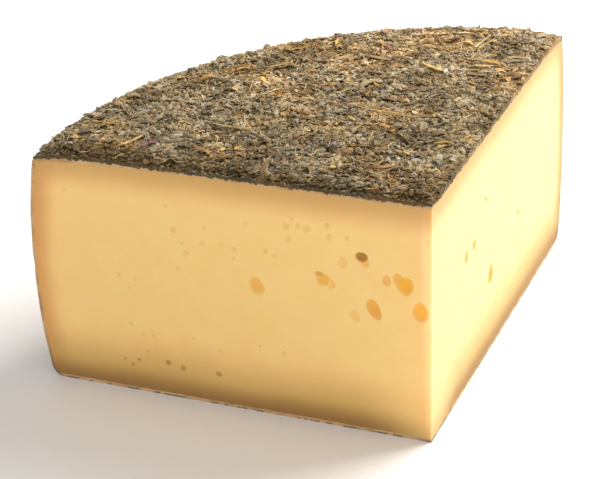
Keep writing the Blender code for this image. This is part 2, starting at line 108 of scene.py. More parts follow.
def flat_triangles(
    border: np.ndarray, inner: list[Pair], rings: list[tuple[int, int]] | None = None
) -> tuple[np.ndarray, Faces, list[list[int]]]:
    """Fills a flat outline in millimetres with triangles.

    Args:
        border: The outline's points, in order.
        inner: Points inside it.
        rings: Pairs of inner points that an edge must join.

    Returns:
        The flat points, the triangles, and the numbers that each point has in the border, if any.
    """
    inside_only, merge_distance = 1, 1e-5
    count = len(border)
    points = [Vector(point) for point in (*border.tolist(), *inner)]
    edges = [(index, (index + 1) % count) for index in range(count)]
    edges += [(first + count, second + count) for first, second in rings or ()]
    flats, _, faces, origins, _, _ = delaunay_2d_cdt(points, edges, [], inside_only, merge_distance)
    numbers = [[index for index in origin if index < count] for origin in origins]
    return np.array([tuple(flat) for flat in flats]), [tuple(face) for face in faces], numbers


def triangle_mesh(name: str, points: np.ndarray, triangles: np.ndarray, smooth: bool) -> bpy.types.Mesh:
    """Makes a mesh from arrays.

    Args:
        name: The mesh's name.
        points: The vertices, one a row.
        triangles: The vertex numbers of each triangle, one triangle a row.
        smooth: Whether the faces are shaded smooth.

    Returns:
        The mesh.
    """
    mesh = bpy.data.meshes.new(name)
    mesh.vertices.add(len(points))
    mesh.vertices.foreach_set("co", np.ascontiguousarray(points, np.float32).ravel())
    mesh.loops.add(3 * len(triangles))
    mesh.loops.foreach_set("vertex_index", np.ascontiguousarray(triangles, np.int32).ravel())
    mesh.polygons.add(len(triangles))
    mesh.polygons.foreach_set("loop_start", np.arange(0, 3 * len(triangles), 3, dtype=np.int32))
    mesh.update(calc_edges=True)
    mesh.polygons.foreach_set("use_smooth", np.full(len(triangles), smooth))
    return mesh


def set_values(mesh: bpy.types.Mesh, name: str, values: np.ndarray) -> None:
    """Stores one number for each vertex, which a material reads by that name."""
    attribute = mesh.attributes.new(name, "FLOAT", "POINT")
    attribute.data.foreach_set("value", np.ascontiguousarray(values, np.float32))


def place_piece(name: str, mesh: bpy.types.Mesh, material: bpy.types.Material) -> bpy.types.Object:
    """Adds a mesh to the scene as a piece with one material.

    Args:
        name: The piece's name.
        mesh: Its mesh.
        material: Its material.

    Returns:
        The object.
    """
    mesh.materials.append(material)
    piece = bpy.data.objects.new(name, mesh)
    bpy.context.scene.collection.objects.link(piece)
    return piece


@dataclass(frozen=True)
class Patches:
    """Cloudy patches: their size, how many finer layers they have, where they fade in, and their strength."""

    size: float
    detail: float
    start: float
    end: float
    share: float = 1.0
    stretch: Triple = (1, 1, 1)


class Graph:
    """Adds and links the nodes of one material."""

    def __init__(self, name: str) -> None:
        """Starts a material with a Principled shader.

        Args:
            name: The material's name.
        """
        self.material = bpy.data.materials.new(name)
        self.material.use_nodes = True
        self.tree = self.material.node_tree
        self.shader = self.tree.nodes["Principled BSDF"]

    def add(self, kind: str, **settings: object) -> bpy.types.Node:
        """Adds a node.

        Args:
            kind: The node's type name, without the ShaderNode that it starts with.
            settings: Properties of the node.

        Returns:
            The node.
        """
        node = self.tree.nodes.new("ShaderNode" + kind)
        for key, value in settings.items():
            setattr(node, key, value)
        return node

    def feed(self, socket: Socket, value: object) -> None:
        """Links a socket to an output, or sets it to a plain value.

        Args:
            socket: The input.
            value: Another node's output, a number or a colour.
        """
        if isinstance(value, Socket):
            self.tree.links.new(value, socket)
        else:
            socket.default_value = value

    def surface(self, values: dict[str, object]) -> None:
        """Feeds inputs of the shader, given by name."""
        for name, value in values.items():
            self.feed(self.shader.inputs[name], value)

    def place(self) -> Socket:
        """The surface point, in metres in the row frame."""
        return self.add("TexCoord").outputs["Object"]

    def split(self, kind: str, value: Socket) -> bpy.types.bpy_prop_collection:
        """The three parts of a point or a colour.

        Args:
            kind: SeparateXYZ or SeparateColor.
            value: The point or colour.

        Returns:
            The parts.
        """
        node = self.add(kind)
        self.feed(node.inputs[0], value)
        return node.outputs

    def value(self, name: str) -> Socket:
        """The number that the mesh stores under a name."""
        return self.add("Attribute", attribute_name=name).outputs["Fac"]

    def math(self, operation: str, *values: object) -> Socket:
        """A sum, product or other operation on one to three numbers.

        Args:
            operation: The operation's name.
            values: The numbers or outputs it works on.

        Returns:
            The result.
        """
        node = self.add("Math", operation=operation)
        for socket, value in zip(node.inputs, values):
            self.feed(socket, value)
        return node.outputs[0]

    def times(self, first: object, second: object) -> Socket:
        """The product of two numbers."""
        return self.math("MULTIPLY", first, second)

    def minus(self, first: object, second: object) -> Socket:
        """The difference of two numbers."""
        return self.math("SUBTRACT", first, second)

    def line(self, value: object, slope: object, start: object) -> Socket:
        """The start, plus the value times the slope."""
        return self.math("MULTIPLY_ADD", value, slope, start)

    def fade(self, value: object, start: float, end: float) -> Socket:
        """Rises smoothly from 0 where the value is start to 1 where it is end.

        Args:
            value: The value.
            start: Where the result is 0.
            end: Where the result is 1, which may be less than start.

        Returns:
            The result.
        """
        low, high = min(start, end), max(start, end)
        results = (0.0, 1.0) if start < end else (1.0, 0.0)
        node = self.add("MapRange", interpolation_type="SMOOTHSTEP")
        for socket, entry in zip(node.inputs, (value, low, high, *results)):
            self.feed(socket, entry)
        return node.outputs["Result"]

    def mix(self, factor: object, first: object, second: object, blend: str = "MIX") -> Socket:
        """Mixes two colours.

        Args:
            factor: How much of the second colour shows.
            first: The first colour.
            second: The second colour.
            blend: The blend's name.

        Returns:
            The mixed colour.
        """
        node = self.add("Mix", data_type="RGBA", blend_type=blend)
        for name, value in (("Factor_Float", factor), ("A_Color", first), ("B_Color", second)):
            socket = next(entry for entry in node.inputs if entry.identifier == name)
            self.feed(socket, value)
        return next(entry for entry in node.outputs if entry.identifier == "Result_Color")

    def ramp(self, value: object, stops: Stops) -> Socket:
        """A colour that follows a value.

        Args:
            value: The value, from 0 to 1.
            stops: Where each colour stands, and the colour.

        Returns:
            The colour.
        """
        node = self.add("ValToRGB")
        elements = node.color_ramp.elements
        while len(elements) < len(stops):
            elements.new(0.5)
        for element, (position, colour) in zip(elements, stops):
            element.position = position
            element.color = colour
        self.feed(node.inputs["Fac"], value)
        return node.outputs["Color"]

    def noise(self, size: float, detail: float = 2.0, stretch: Triple = (1, 1, 1)) -> Socket:
        """Cloudy noise from 0 to 1.

        Args:
            size: The distance over which it changes, in metres.
            detail: How many finer layers it has.
            stretch: How many times finer it is along each axis.

        Returns:
            The noise.
        """
        mapping = self.add("Mapping")
        self.feed(mapping.inputs["Vector"], self.place())
        self.feed(mapping.inputs["Scale"], stretch)
        node = self.add("TexNoise")
        self.feed(node.inputs["Vector"], mapping.outputs["Vector"])
        self.feed(node.inputs["Scale"], 1 / size)
        self.feed(node.inputs["Detail"], detail)
        return node.outputs["Fac"]

    def patches(self, patches: Patches) -> Socket:
        """How strongly cloudy patches show, from 0 to their share."""
        cloud = self.noise(patches.size, patches.detail, patches.stretch)
        return self.times(self.fade(cloud, patches.start, patches.end), patches.share)

    def cells(self, size: float, output: str = "Color") -> Socket:
        """Small irregular cells, each with a colour of its own, or the distance to a cell's middle.

        Args:
            size: How far apart the cells are, in metres.
            output: Color or Distance.

        Returns:
            The colour or the distance.
        """
        node = self.add("TexVoronoi")
        self.feed(node.inputs["Vector"], self.place())
        self.feed(node.inputs["Scale"], 1 / size)
        return node.outputs[output]

    def bump(self, height: object, strength: float, depth: float) -> None:
        """Gives the shader a relief, on top of any that it has.

        Args:
            height: The relief, from 0 to 1.
            strength: How strongly it shows.
            depth: How deep it is, in metres.
        """
        node = self.add("Bump")
        for name, value in (("Height", height), ("Strength", strength), ("Distance", depth)):
            self.feed(node.inputs[name], value)
        earlier = self.shader.inputs["Normal"]
        if earlier.is_linked:
            self.feed(node.inputs["Normal"], earlier.links[0].from_socket)
        self.feed(earlier, node.outputs["Normal"])


@dataclass(frozen=True)
class Wheel:
    """The wheel that the wedge was cut from. Its axis goes through the top of the wedge's tip."""

    axis: Pair = (0.0, 0.0)
    height: float = 90 * MM
    belly_radius: float = 149 * MM
    belly_height: float = 38 * MM
    belly_bulge: float = 4.0 * MM
    shoulder_round: float = 3.0 * MM
    foot_round: float = 5.0 * MM
    top_fall: float = 1.5 * MM
    top_fall_span: float = 32 * MM
    skin_wave: float = 0.35 * MM
    skin_wave_length: float = 30 * MM
    wedge_angle: float = math.radians(91.2)
    arc_steps: int = 8
    rim_pitch: float = 1.1 * MM

    @classmethod
    def from_frame(cls, cheese: bpy.types.Object) -> "Wheel":
        """Finds the wheel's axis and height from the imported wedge.

        Args:
            cheese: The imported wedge.

        Returns:
            The wheel.
        """
        top = max(vertex.co.z for vertex in cheese.data.vertices)
        upper = [vertex.co for vertex in cheese.data.vertices if vertex.co.z > top - 0.05 * MM]
        tip = max(upper, key=lambda point: point.x - point.y)
        return cls(axis=(tip.x, tip.y), height=top)

    def rim_radius(self, height: float) -> float:
        """The rim's radius at a height above the base."""
        return self.belly_radius - self.belly_bulge * ((height - self.belly_height) / (self.height / 2)) ** 2

    @property
    def fall_start(self) -> float:
        """The distance from the axis at which the top starts to fall."""
        return self.rim_radius(self.height) - self.top_fall_span

    def top_height(self, radius: float) -> float:
        """The top's height at a distance from the axis."""
        return self.height - self.top_fall * max(0.0, (radius - self.fall_start) / self.top_fall_span) ** 2

    def quarter_round(self, radius: float, height: float, size: float, start: float) -> list[Pair]:
        """Points of a quarter circle of a size round a middle, from a start angle clockwise from straight up."""
        turns = [start + math.pi / 2 * step / self.arc_steps for step in range(self.arc_steps + 1)]
        return [(radius + size * math.sin(turn), height + size * math.cos(turn)) for turn in turns]

    def outline(self) -> np.ndarray:
        """The outline from the middle of the top, over the shoulder and down the rim to the foot.

        Returns:
            Radius and height of each point.
        """
        shoulder_height = self.top_height(self.rim_radius(self.height)) - self.shoulder_round
        shoulder_radius = self.rim_radius(shoulder_height) - self.shoulder_round
        foot_radius = self.rim_radius(self.foot_round) - self.foot_round
        points = [(0.0, self.height)]
        for step in range(self.arc_steps):
            radius = self.fall_start + (shoulder_radius - self.fall_start) * step / self.arc_steps
            points.append((radius, self.top_height(radius)))
        points += self.quarter_round(shoulder_radius, shoulder_height, self.shoulder_round, 0.0)
        steps = round((shoulder_height - self.foot_round) / self.rim_pitch)
        for step in range(1, steps):
            height = shoulder_height + (self.foot_round - shoulder_height) * step / steps
            points.append((self.rim_radius(height), height))
        points += self.quarter_round(foot_radius, self.foot_round, self.foot_round, math.pi / 2)
        return np.array(points)


@dataclass
class Skin:
    """The wheel's outside. A place on it is a length along the outline and a turn from the front cut."""

    wheel: Wheel

    def __post_init__(self) -> None:
        """Measures the wheel's outline."""
        self.outline = self.wheel.outline()
        steps = np.hypot(*np.diff(self.outline, axis=0).T)
        self.lengths = np.concatenate([[0.0], np.cumsum(steps)])
        self.shoulder_index = 1 + self.wheel.arc_steps
        self.top_length = float(self.lengths[self.shoulder_index])
        self.shoulder_length = self.wheel.shoulder_round * math.pi / 2
        self.foot_length = float(self.lengths[-1])

    def waved(self, points: np.ndarray) -> np.ndarray:
        """Moves points of the skin in or out by its slight unevenness.

        Args:
            points: Points with the wheel's axis at the origin.

        Returns:
            The moved points.
        """
        radius = np.hypot(points[:, 0], points[:, 1])
        swell = noise_at(points, self.wheel.skin_wave_length) * self.wheel.skin_wave
        tip_calm = np.minimum(1, radius / self.wheel.belly_radius)
        swell *= tip_calm * np.minimum(1, points[:, 2] / self.wheel.foot_round)
        outward = points * (1, 1, 0) / np.maximum(radius, MM)[:, None]
        return points + outward * swell[:, None]

    def place(
        self, length: np.ndarray, turn: np.ndarray, lift: np.ndarray
    ) -> tuple[np.ndarray, np.ndarray, np.ndarray]:
        """Finds places on the skin.

        Args:
            length: Their lengths along the outline.
            turn: Their turns from the front cut.
            lift: How far above the skin they are.

        Returns:
            The points, the skin's outward directions there, and the directions round the wheel.
        """
        radius = np.interp(length, self.lengths, self.outline[:, 0])
        height = np.interp(length, self.lengths, self.outline[:, 1])
        segment = np.clip(np.searchsorted(self.lengths, length) - 1, 0, len(self.outline) - 2)
        step = self.outline[segment + 1] - self.outline[segment]
        step /= np.hypot(step[:, 0], step[:, 1])[:, None]
        outward = np.stack([-np.cos(turn), np.sin(turn), 0 * turn], axis=1)
        up = np.array([0.0, 0.0, 1.0])
        normal = outward * -step[:, 1:] + up * step[:, :1]
        around = np.stack([np.sin(turn), np.cos(turn), 0 * turn], axis=1)
        points = self.waved(outward * radius[:, None] + up * height[:, None])
        points += normal * np.broadcast_to(lift, length.shape)[:, None]
        return self.to_row(points), normal, around

    def to_row(self, points: np.ndarray) -> np.ndarray:
        """Moves points from the wheel's axis to the row frame."""
        return points + np.array([*self.wheel.axis, 0.0])


class Side(Enum):
    """The wedge's two cut faces."""

    FRONT = "front"
    OTHER = "other"


@dataclass(frozen=True)
class Eye:
    """A hole that the cheese's gas left in a cut face.

    The place and the sizes are in millimetres and the lean is in degrees. The depth is a share of half the
    width. The stain says how much of the stain colour the eye has, and the glow tint how much of a painted glow,
    the light that shines through the paste.
    """

    from_tip: float
    height: float
    width: float
    tall: float
    lean: float = 0.0
    stain: float = 0.0
    depth: float = 0.6
    glow_tint: float = 0.6

    def local(self, along: np.ndarray, height: np.ndarray) -> tuple[np.ndarray, np.ndarray]:
        """Places on the cut as seen from the eye's middle, in half widths and half heights.

        Args:
            along: Distances from the tip, in millimetres.
            height: Heights above the base, in millimetres.

        Returns:
            The two coordinates.
        """
        lean = math.radians(self.lean)
        across, up = along - self.from_tip, height - self.height
        wide = (across * math.cos(lean) - up * math.sin(lean)) / (self.width / 2)
        high = (across * math.sin(lean) + up * math.cos(lean)) / (self.tall / 2)
        return wide, high

    def wobble(self, turn: np.ndarray) -> np.ndarray:
        """How much the outline leaves a plain ellipse, which differs from eye to eye.

        Args:
            turn: The angles from the eye's middle.

        Returns:
            The outline's reach there, where the ellipse has 1.
        """
        oval, corner = np.sin(2 * turn + 2.1 * self.from_tip), np.sin(3 * turn + 1.3 * self.height)
        oval_share, corner_share = 0.045, 0.035
        return 1 + oval_share * oval + corner_share * corner

    def reach(self, along: np.ndarray, height: np.ndarray) -> np.ndarray:
        """How far out places lie: 0 in the eye's middle and 1 on its outline."""
        wide, high = self.local(along, height)
        return np.hypot(wide, high) / self.wobble(np.arctan2(high, wide))

    def ring(self, reach: float, count: int) -> np.ndarray:
        """Points round the eye.

        Args:
            reach: How far out they lie.
            count: How many there are.

        Returns:
            Distance from the tip and height of each, in millimetres.
        """
        turn = np.linspace(0, 2 * math.pi, count, endpoint=False)
        scale = reach * self.wobble(turn)
        wide, high = scale * np.cos(turn) * self.width / 2, scale * np.sin(turn) * self.tall / 2
        lean = math.radians(self.lean)
        along = self.from_tip + wide * math.cos(lean) + high * math.sin(lean)
        height = self.height - wide * math.sin(lean) + high * math.cos(lean)
        return np.stack([along, height], axis=1)

    def sink(self, along: np.ndarray, height: np.ndarray, lip: float) -> np.ndarray:
        """How far the eye's wall lies behind the cut, in millimetres.

        Args:
            along: Distances from the tip.
            height: Heights above the base.
            lip: How deep the rounded lip is.

        Returns:
            The depths.
        """
        lip_width = 0.07
        reach = self.reach(along, height)
        bowl = (self.width + self.tall) / 4 * self.depth * np.sqrt(np.clip(1 - reach**2, 0, None))
        return np.where(reach < 1, lip + bowl, lip * np.exp(-(reach - 1) / lip_width))


@dataclass(frozen=True)
class EyeTables:
    """The eyes that show in the two cuts. Small ones are given as distance from the tip, height and width."""

    front: tuple[Eye, ...] = (
        Eye(62.1, 50.7, 5.5, 6.6, 20, 0.1, 0.4, 0.5),
        Eye(39.4, 59.1, 2.9, 2.4, 0, 0.45, 0.4, 0.5),
        Eye(38.0, 57.3, 4.9, 4.6, 0, 0.05, 0.4, 0.7),
        Eye(35.2, 56.1, 2.9, 3.6, 10, 0.0, 0.3, 0.45),
        Eye(30.8, 65.0, 3.1, 4.7, 0, 0.05, 0.25, 0.15),
        Eye(24.2, 67.8, 4.5, 4.1, 0, 1.0, 0.5, 0.5),
        Eye(22.9, 65.8, 3.1, 3.0, 0, 0.1, 0.3, 0.5),
        Eye(15.6, 60.5, 3.2, 4.4, 0, 0.15, 0.3, 0.35),
        Eye(11.6, 61.6, 4.1, 4.4, 0, 0.2, 0.4, 0.5),
        Eye(9.2, 59.4, 5.8, 7.0, -15, 0.0, 0.4, 0.9),
        Eye(20.2, 48.8, 4.9, 8.1, 25, 0.15, 0.4, 0.75),
        Eye(26.8, 45.1, 3.1, 4.8, 10, 0.0, 0.25, 0.3),
        Eye(4.0, 50.3, 5.4, 8.0, 10, 0.0, 0.3, 0.8),
    )
    other: tuple[Eye, ...] = (
        Eye(35.1, 52.6, 3.4, 5.4),
        Eye(43.3, 52.9, 3.4, 4.6),
        Eye(62.1, 30.7, 5.4, 8.4, 8),
        Eye(92.9, 40.0, 3.4, 2.4),
        Eye(89.8, 32.5, 1.6, 1.6),
        Eye(55.1, 64.4, 2.5, 2.4),
    )
    front_pinholes: tuple[Triple, ...] = (
        (50.6, 75.6, 3.1), (46.3, 76.3, 2.0), (43.2, 75.7, 3.0), (49.9, 70.9, 2.5), (36.0, 77.9, 2.0),
        (35.6, 73.9, 2.7), (29.0, 74.2, 2.0), (69.9, 63.8, 2.1), (58.4, 64.7, 2.1), (81.5, 64.2, 2.3),
        (87.9, 59.4, 2.6), (92.2, 67.9, 2.9), (114.3, 46.7, 2.0), (105.3, 16.8, 2.2), (97.5, 13.7, 2.8),
        (91.9, 12.4, 2.7), (78.2, 12.5, 2.7), (77.1, 21.9, 2.2), (111.0, 27.4, 2.0), (52.9, 25.8, 2.0),
    )
    front_specks: tuple[Triple, ...] = (
        (48.3, 78.5, 1.5), (74.6, 64.7, 1.8), (70.2, 60.2, 1.8), (54.9, 63.6, 2.0), (80.5, 70.3, 1.7),
        (65.3, 73.9, 1.7), (91.3, 53.2, 1.9), (89.1, 63.0, 1.7), (132.5, 77.4, 1.8), (108.2, 46.5, 1.7),
        (110.7, 42.2, 1.5), (106.8, 24.0, 1.9), (102.7, 24.1, 1.5), (114.6, 12.4, 1.5), (109.0, 12.9, 1.9),
        (111.6, 10.5, 1.9), (87.0, 25.5, 1.8), (61.8, 27.0, 1.3), (94.5, 76.9, 1.6), (1.2, 76.9, 1.9),
    )
    pinhole_depth: float = 0.22
    speck_depth: float = 0.15
    faint_stain: float = 0.14
    low_hole_darkening: float = 0.7
    low_end: float = 14.5
    other_glow_tint: float = 0.3
    small_width: float = 0.85

    def of(self, side: Side) -> list[Eye]:
        """Every eye in a cut.

        Args:
            side: The cut.

        Returns:
            The eyes.
        """
        if side is Side.OTHER:
            return [replace(eye, glow_tint=self.other_glow_tint) for eye in self.other]
        eyes = list(self.front)
        kinds = ((self.front_pinholes, self.pinhole_depth), (self.front_specks, self.speck_depth))
        for places, depth in kinds:
            for from_tip, height, width in places:
                size = self.small_width * width
                # Small holes near the base get more of the stain colour, so they show darker there.
                stain = self.low_hole_darkening if height < self.low_end else self.faint_stain
                eyes.append(Eye(from_tip, height, size, size, stain=stain, depth=depth, glow_tint=0.0))
        return eyes


@dataclass(frozen=True)
class KnifeCut:
    """One of the two flat cuts. Both hold the tip's edge, which leans because the knife did."""

    side: Side
    wheel: Wheel
    tip_foot: Pair = (-2.0 * MM, -1.4 * MM)

    @property
    def along(self) -> np.ndarray:
        """The level direction in the cut, away from the tip."""
        turn = 0.0 if self.side is Side.FRONT else self.wheel.wedge_angle
        return np.array([-math.cos(turn), math.sin(turn), 0.0])

    @property
    def outward(self) -> np.ndarray:
        """The direction that the cut faces.

        Returns:
            The direction, of length 1.
        """
        edge = np.array([-self.tip_foot[0], -self.tip_foot[1], self.wheel.height])
        normal = np.cross(edge, self.along) * (1 if self.side is Side.FRONT else -1)
        return normal / np.linalg.norm(normal)

    def edge(self, height: np.ndarray) -> np.ndarray:
        """Points of the tip's edge at some heights, with the wheel's axis at the origin."""
        part = 1 - np.asarray(height) / self.wheel.height
        return np.stack([self.tip_foot[0] * part, self.tip_foot[1] * part, np.asarray(height, float)], axis=-1)

    def at(self, distance: np.ndarray, height: np.ndarray) -> np.ndarray:
        """Points of the cut, at distances from the tip's edge, with the wheel's axis at the origin."""
        return self.edge(height) + np.asarray(distance)[..., None] * self.along

    def reach(self, radius: float, height: float) -> float:
        """How far from the tip's edge the cut meets a circle round the wheel's axis.

        Args:
            radius: The circle's radius.
            height: Its height.

        Returns:
            The distance.
        """
        edge = self.edge(height)[:2]
        ahead = edge @ self.along[:2]
        return -ahead + math.sqrt(ahead**2 - (edge**2).sum() + radius**2)


class Edge(Enum):
    """What a distance in the paste is measured from."""

    RIM = "rim"
    TOP = "top"
    BASE = "base"
    OTHER_CUT = "other cut"
    AXIS = "axis"


@dataclass(frozen=True)
class Band:
    """A browner strip of the paste along one edge, drier paste near the rind, with painted shade in it along the
    top and base: full up to its core and gone at its width, which wavers.
    """

    edge: Edge
    colour: Colour
    width: float
    core: float
    share: float
    waver: float


@dataclass(frozen=True)
class PasteFinish:
    """Cut cheese: warm yellow paste that light enters, browner towards its rind, which is dry and tan, with
    painted light and shade: a paler other cut, a painted glow in the eyes, and painted shade in the top and base
    bands.
    """

    paste: Colour = photo_colour(250, 206, 130)
    pale: Colour = photo_colour(254, 215, 143)
    mottle: float = 9 * MM
    # Painted light: the other cut is drawn paler near its face, standing in for the strong light that falls on
    # it.
    other_cut: Colour = photo_colour(253, 222, 157)
    painted_light_depth: Pair = (5 * MM, 2.4 * MM)
    # The rim band is drier paste by the rind. The base bands are partly that and partly painted shade low on the
    # cut faces, and the top band is partly drier paste and partly a painted shadow under the herb coat.
    rind_and_shade_bands: tuple[Band, ...] = (
        Band(Edge.RIM, photo_colour(214, 158, 88), 11 * MM, 1 * MM, 0.9, 0.5),
        Band(Edge.BASE, photo_colour(196, 158, 84), 27 * MM, 4 * MM, 0.85, 1.0),
        Band(Edge.BASE, photo_colour(150, 108, 56), 11 * MM, 1 * MM, 0.9, 0.4),
        Band(Edge.TOP, photo_colour(208, 160, 92), 14 * MM, 1 * MM, 0.85, 0.5),
    )
    waver: float = 5 * MM
    waver_length: float = 22 * MM
    # The painted shade of the base bands is weaker near the tip, where the thin paste is brighter.
    tip_shade_reach: Pair = (30 * MM, 4 * MM)
    tip_shade_clearing: float = 0.6
    # eye: a painted glow, the light that shines through the paste, mixed into the eyes by the value eye.
    eye: Colour = photo_colour(248, 186, 44)
    stain: Colour = photo_colour(190, 134, 54)
    rind: Colour = photo_colour(206, 168, 120)
    rind_patches: tuple[tuple[Patches, Colour], ...] = (
        (Patches(18 * MM, 3, 0.38, 0.7, 0.6, (1, 1, 1.6)), photo_colour(158, 126, 86)),
        (Patches(5 * MM, 3, 0.45, 0.7, 0.4), photo_colour(224, 194, 154)),
        (Patches(0.9 * MM, 3, 0.5, 0.7, 0.28), photo_colour(158, 126, 86)),
    )
    top_rind: float = 1.1 * MM
    top_rind_more: float = 0.8 * MM
    top_rind_rise: Pair = (90 * MM, 125 * MM)
    rim_rind: float = 1.5 * MM
    base_rind: float = 1.1 * MM
    rind_ragged: float = 1.1 * MM
    rind_ragged_length: float = 1.8 * MM
    rind_fade: Pair = (1.0, 0.6)
    foot_rind: Colour = photo_colour(112, 92, 62)
    foot_rind_height: float = 22 * MM
    foot_rind_depth: Pair = (5 * MM, 2 * MM)
    foot_rind_share: float = 0.85
    speck: Colour = photo_colour(108, 88, 60)
    speck_share: float = 0.85
    base_speck_size: float = 2.3 * MM
    base_speck_level: Pair = (0.5, 0.56)
    base_speck_height: Pair = (0.75 * MM, 0.45 * MM)
    crumb_size: float = 1.5 * MM
    crumb_level: Pair = (0.93, 0.96)
    crumb_share: float = 0.45
    roughness: float = 0.48
    rind_roughness: float = 0.4
    light_depth: Triple = (6 * MM, 3 * MM, 1 * MM)
    translucence: float = 0.75
    rind_firmness: float = 0.65
    knife_marks: float = 0.05 * MM
    knife_mark_sizes: Pair = (1.2 * MM, 6 * MM)
    rind_relief: float = 0.5 * MM
    rind_grain: float = 1.6 * MM

    def distances(self, graph: Graph, wheel: Wheel) -> dict[Edge, Socket]:
        """How far a point of the paste lies inside each side of the wedge, and from the axis.

        Args:
            graph: The material.
            wheel: The wheel that the wedge was cut from.

        Returns:
            The distances.
        """
        place = graph.split("SeparateXYZ", graph.place())
        across, back = graph.minus(place["X"], wheel.axis[0]), graph.minus(place["Y"], wheel.axis[1])
        height = place["Z"]
        radius = graph.math("SQRT", graph.line(across, across, graph.times(back, back)))
        step = graph.math("DIVIDE", graph.minus(height, wheel.belly_height), wheel.height / 2)
        bulge = graph.times(graph.times(step, step), wheel.belly_bulge)
        fall = graph.math("DIVIDE", graph.minus(radius, wheel.fall_start), wheel.top_fall_span)
        fall = graph.math("MAXIMUM", fall, 0.0)
        sunk = graph.times(graph.times(fall, fall), wheel.top_fall)
        sideways = graph.times(back, -math.cos(wheel.wedge_angle))
        return {
            Edge.RIM: graph.minus(graph.minus(wheel.belly_radius, bulge), radius),
            Edge.TOP: graph.minus(graph.minus(wheel.height, sunk), height),
            Edge.BASE: height,
            Edge.OTHER_CUT: graph.line(across, -math.sin(wheel.wedge_angle), sideways),
            Edge.AXIS: radius,
        }

    def banded_and_shaded(self, graph: Graph, colour: Socket, gaps: dict[Edge, Socket]) -> Socket:
        """Browns the paste towards the rim, the top and the base, partly with painted shade along the top and
        base, and less along the base near the tip.

        Args:
            graph: The material.
            colour: The paste's colour.
            gaps: The distances from the wedge's sides.

        Returns:
            The browned colour.
        """
        drift = graph.times(graph.minus(graph.noise(self.waver_length), 0.5), self.waver)
        # The painted shade along the base is weaker near the tip.
        tip = graph.line(graph.fade(gaps[Edge.AXIS], *self.tip_shade_reach), -self.tip_shade_clearing, 1.0)
        for band in self.rind_and_shade_bands:
            wavering = graph.line(drift, band.waver, gaps[band.edge])
            amount = graph.times(graph.fade(wavering, band.width, band.core), band.share)
            if band.edge is Edge.BASE:
                amount = graph.times(amount, tip)
            colour = graph.mix(amount, colour, band.colour)
        return colour

    def rind_colour(self, graph: Graph, gaps: dict[Edge, Socket]) -> Socket:
        """The rind: peachy tan with grey-brown clouds, greyer at the foot, with dark crumbs and base specks.

        Args:
            graph: The material.
            gaps: The distances from the wedge's sides.

        Returns:
            The colour.
        """
        colour = self.rind
        for patches, tone in self.rind_patches:
            colour = graph.mix(graph.patches(patches), colour, tone)
        rim, base = gaps[Edge.RIM], gaps[Edge.BASE]
        low = graph.times(graph.fade(base, self.foot_rind_height, 0.0), graph.fade(rim, *self.foot_rind_depth))
        colour = graph.mix(graph.times(low, self.foot_rind_share), colour, self.foot_rind)
        cell = graph.split("SeparateColor", graph.cells(self.base_speck_size))[0]
        speck = graph.times(graph.fade(cell, *self.base_speck_level), graph.fade(base, *self.base_speck_height))
        cell = graph.split("SeparateColor", graph.cells(self.crumb_size))[1]
        crumb = graph.fade(cell, *self.crumb_level)
        speck = graph.math("MAXIMUM", speck, graph.times(crumb, self.crumb_share))
        return graph.mix(graph.times(speck, self.speck_share), colour, self.speck)

    def rind_share(self, graph: Graph, gaps: dict[Edge, Socket], foot_round: float) -> Socket:
        """How much of a point's colour is rind, with a ragged inner edge.

        Args:
            graph: The material.
            gaps: The distances from the wedge's sides.
            foot_round: How far the foot is rounded.

        Returns:
            The share, from 0 in the paste to 1 in the rind.
        """
        ragged = graph.times(graph.minus(graph.noise(self.rind_ragged_length, 2), 0.5), self.rind_ragged)
        sides = (gaps[Edge.RIM], gaps[Edge.BASE])
        short = [graph.math("MAXIMUM", graph.minus(foot_round, gap), 0.0) for gap in sides]
        squares = graph.line(short[0], short[0], graph.times(short[1], short[1]))
        corner = graph.minus(foot_round, graph.math("SQRT", squares))
        outer = graph.fade(gaps[Edge.AXIS], *self.top_rind_rise)
        thickness = graph.line(outer, self.top_rind_more, self.top_rind)
        nearest = graph.math("DIVIDE", graph.math("ADD", gaps[Edge.TOP], ragged), thickness)
        for gap, thickness in ((corner, self.rim_rind), (gaps[Edge.BASE], self.base_rind)):
            part = graph.math("DIVIDE", graph.line(ragged, 0.5, gap), thickness)
            nearest = graph.math("MINIMUM", nearest, part)
        return graph.fade(nearest, *self.rind_fade)

    def material(self, wheel: Wheel) -> bpy.types.Material:
        """Makes the material.

        Args:
            wheel: The wheel that the wedge was cut from.

        Returns:
            The material.
        """
        graph = Graph("paste")
        gaps = self.distances(graph, wheel)
        colour = graph.mix(graph.noise(self.mottle, 3), self.paste, self.pale)
        # Painted light: paler colour near the other cut, where the key light strikes.
        colour = graph.mix(graph.fade(gaps[Edge.OTHER_CUT], *self.painted_light_depth), colour, self.other_cut)
        colour = self.banded_and_shaded(graph, colour, gaps)
        # Painted glow in the eyes, standing in for light shining through the paste.
        colour = graph.mix(graph.value("eye"), colour, self.eye)
        colour = graph.mix(graph.value("stain"), colour, self.stain)
        rind = self.rind_share(graph, gaps, wheel.foot_round)
        graph.surface({
            "Base Color": graph.mix(rind, colour, self.rind_colour(graph, gaps)),
            "Roughness": graph.line(rind, self.rind_roughness, self.roughness),
            "Subsurface Weight": graph.line(rind, -self.rind_firmness, self.translucence),
            "Subsurface Radius": self.light_depth,
            "Subsurface Scale": 1.0,
            "Specular IOR Level": 0.35,
        })
        fine, coarse = self.knife_mark_sizes
        graph.bump(graph.noise(fine, 4), 0.25, self.knife_marks)
        graph.bump(graph.noise(coarse, 2, (1, 1, 5)), 0.3, 2 * self.knife_marks)
        graph.bump(graph.times(graph.noise(self.rind_grain, 5), rind), 0.7, self.rind_relief)
        return graph.material


@dataclass(frozen=True)
class Surface:
    """A part of the wedge's surface, with how much of the eyes' painted glow and stain each point has, if any.
    """

    points: np.ndarray
    faces: Faces
    values: tuple[np.ndarray, np.ndarray] | None = None


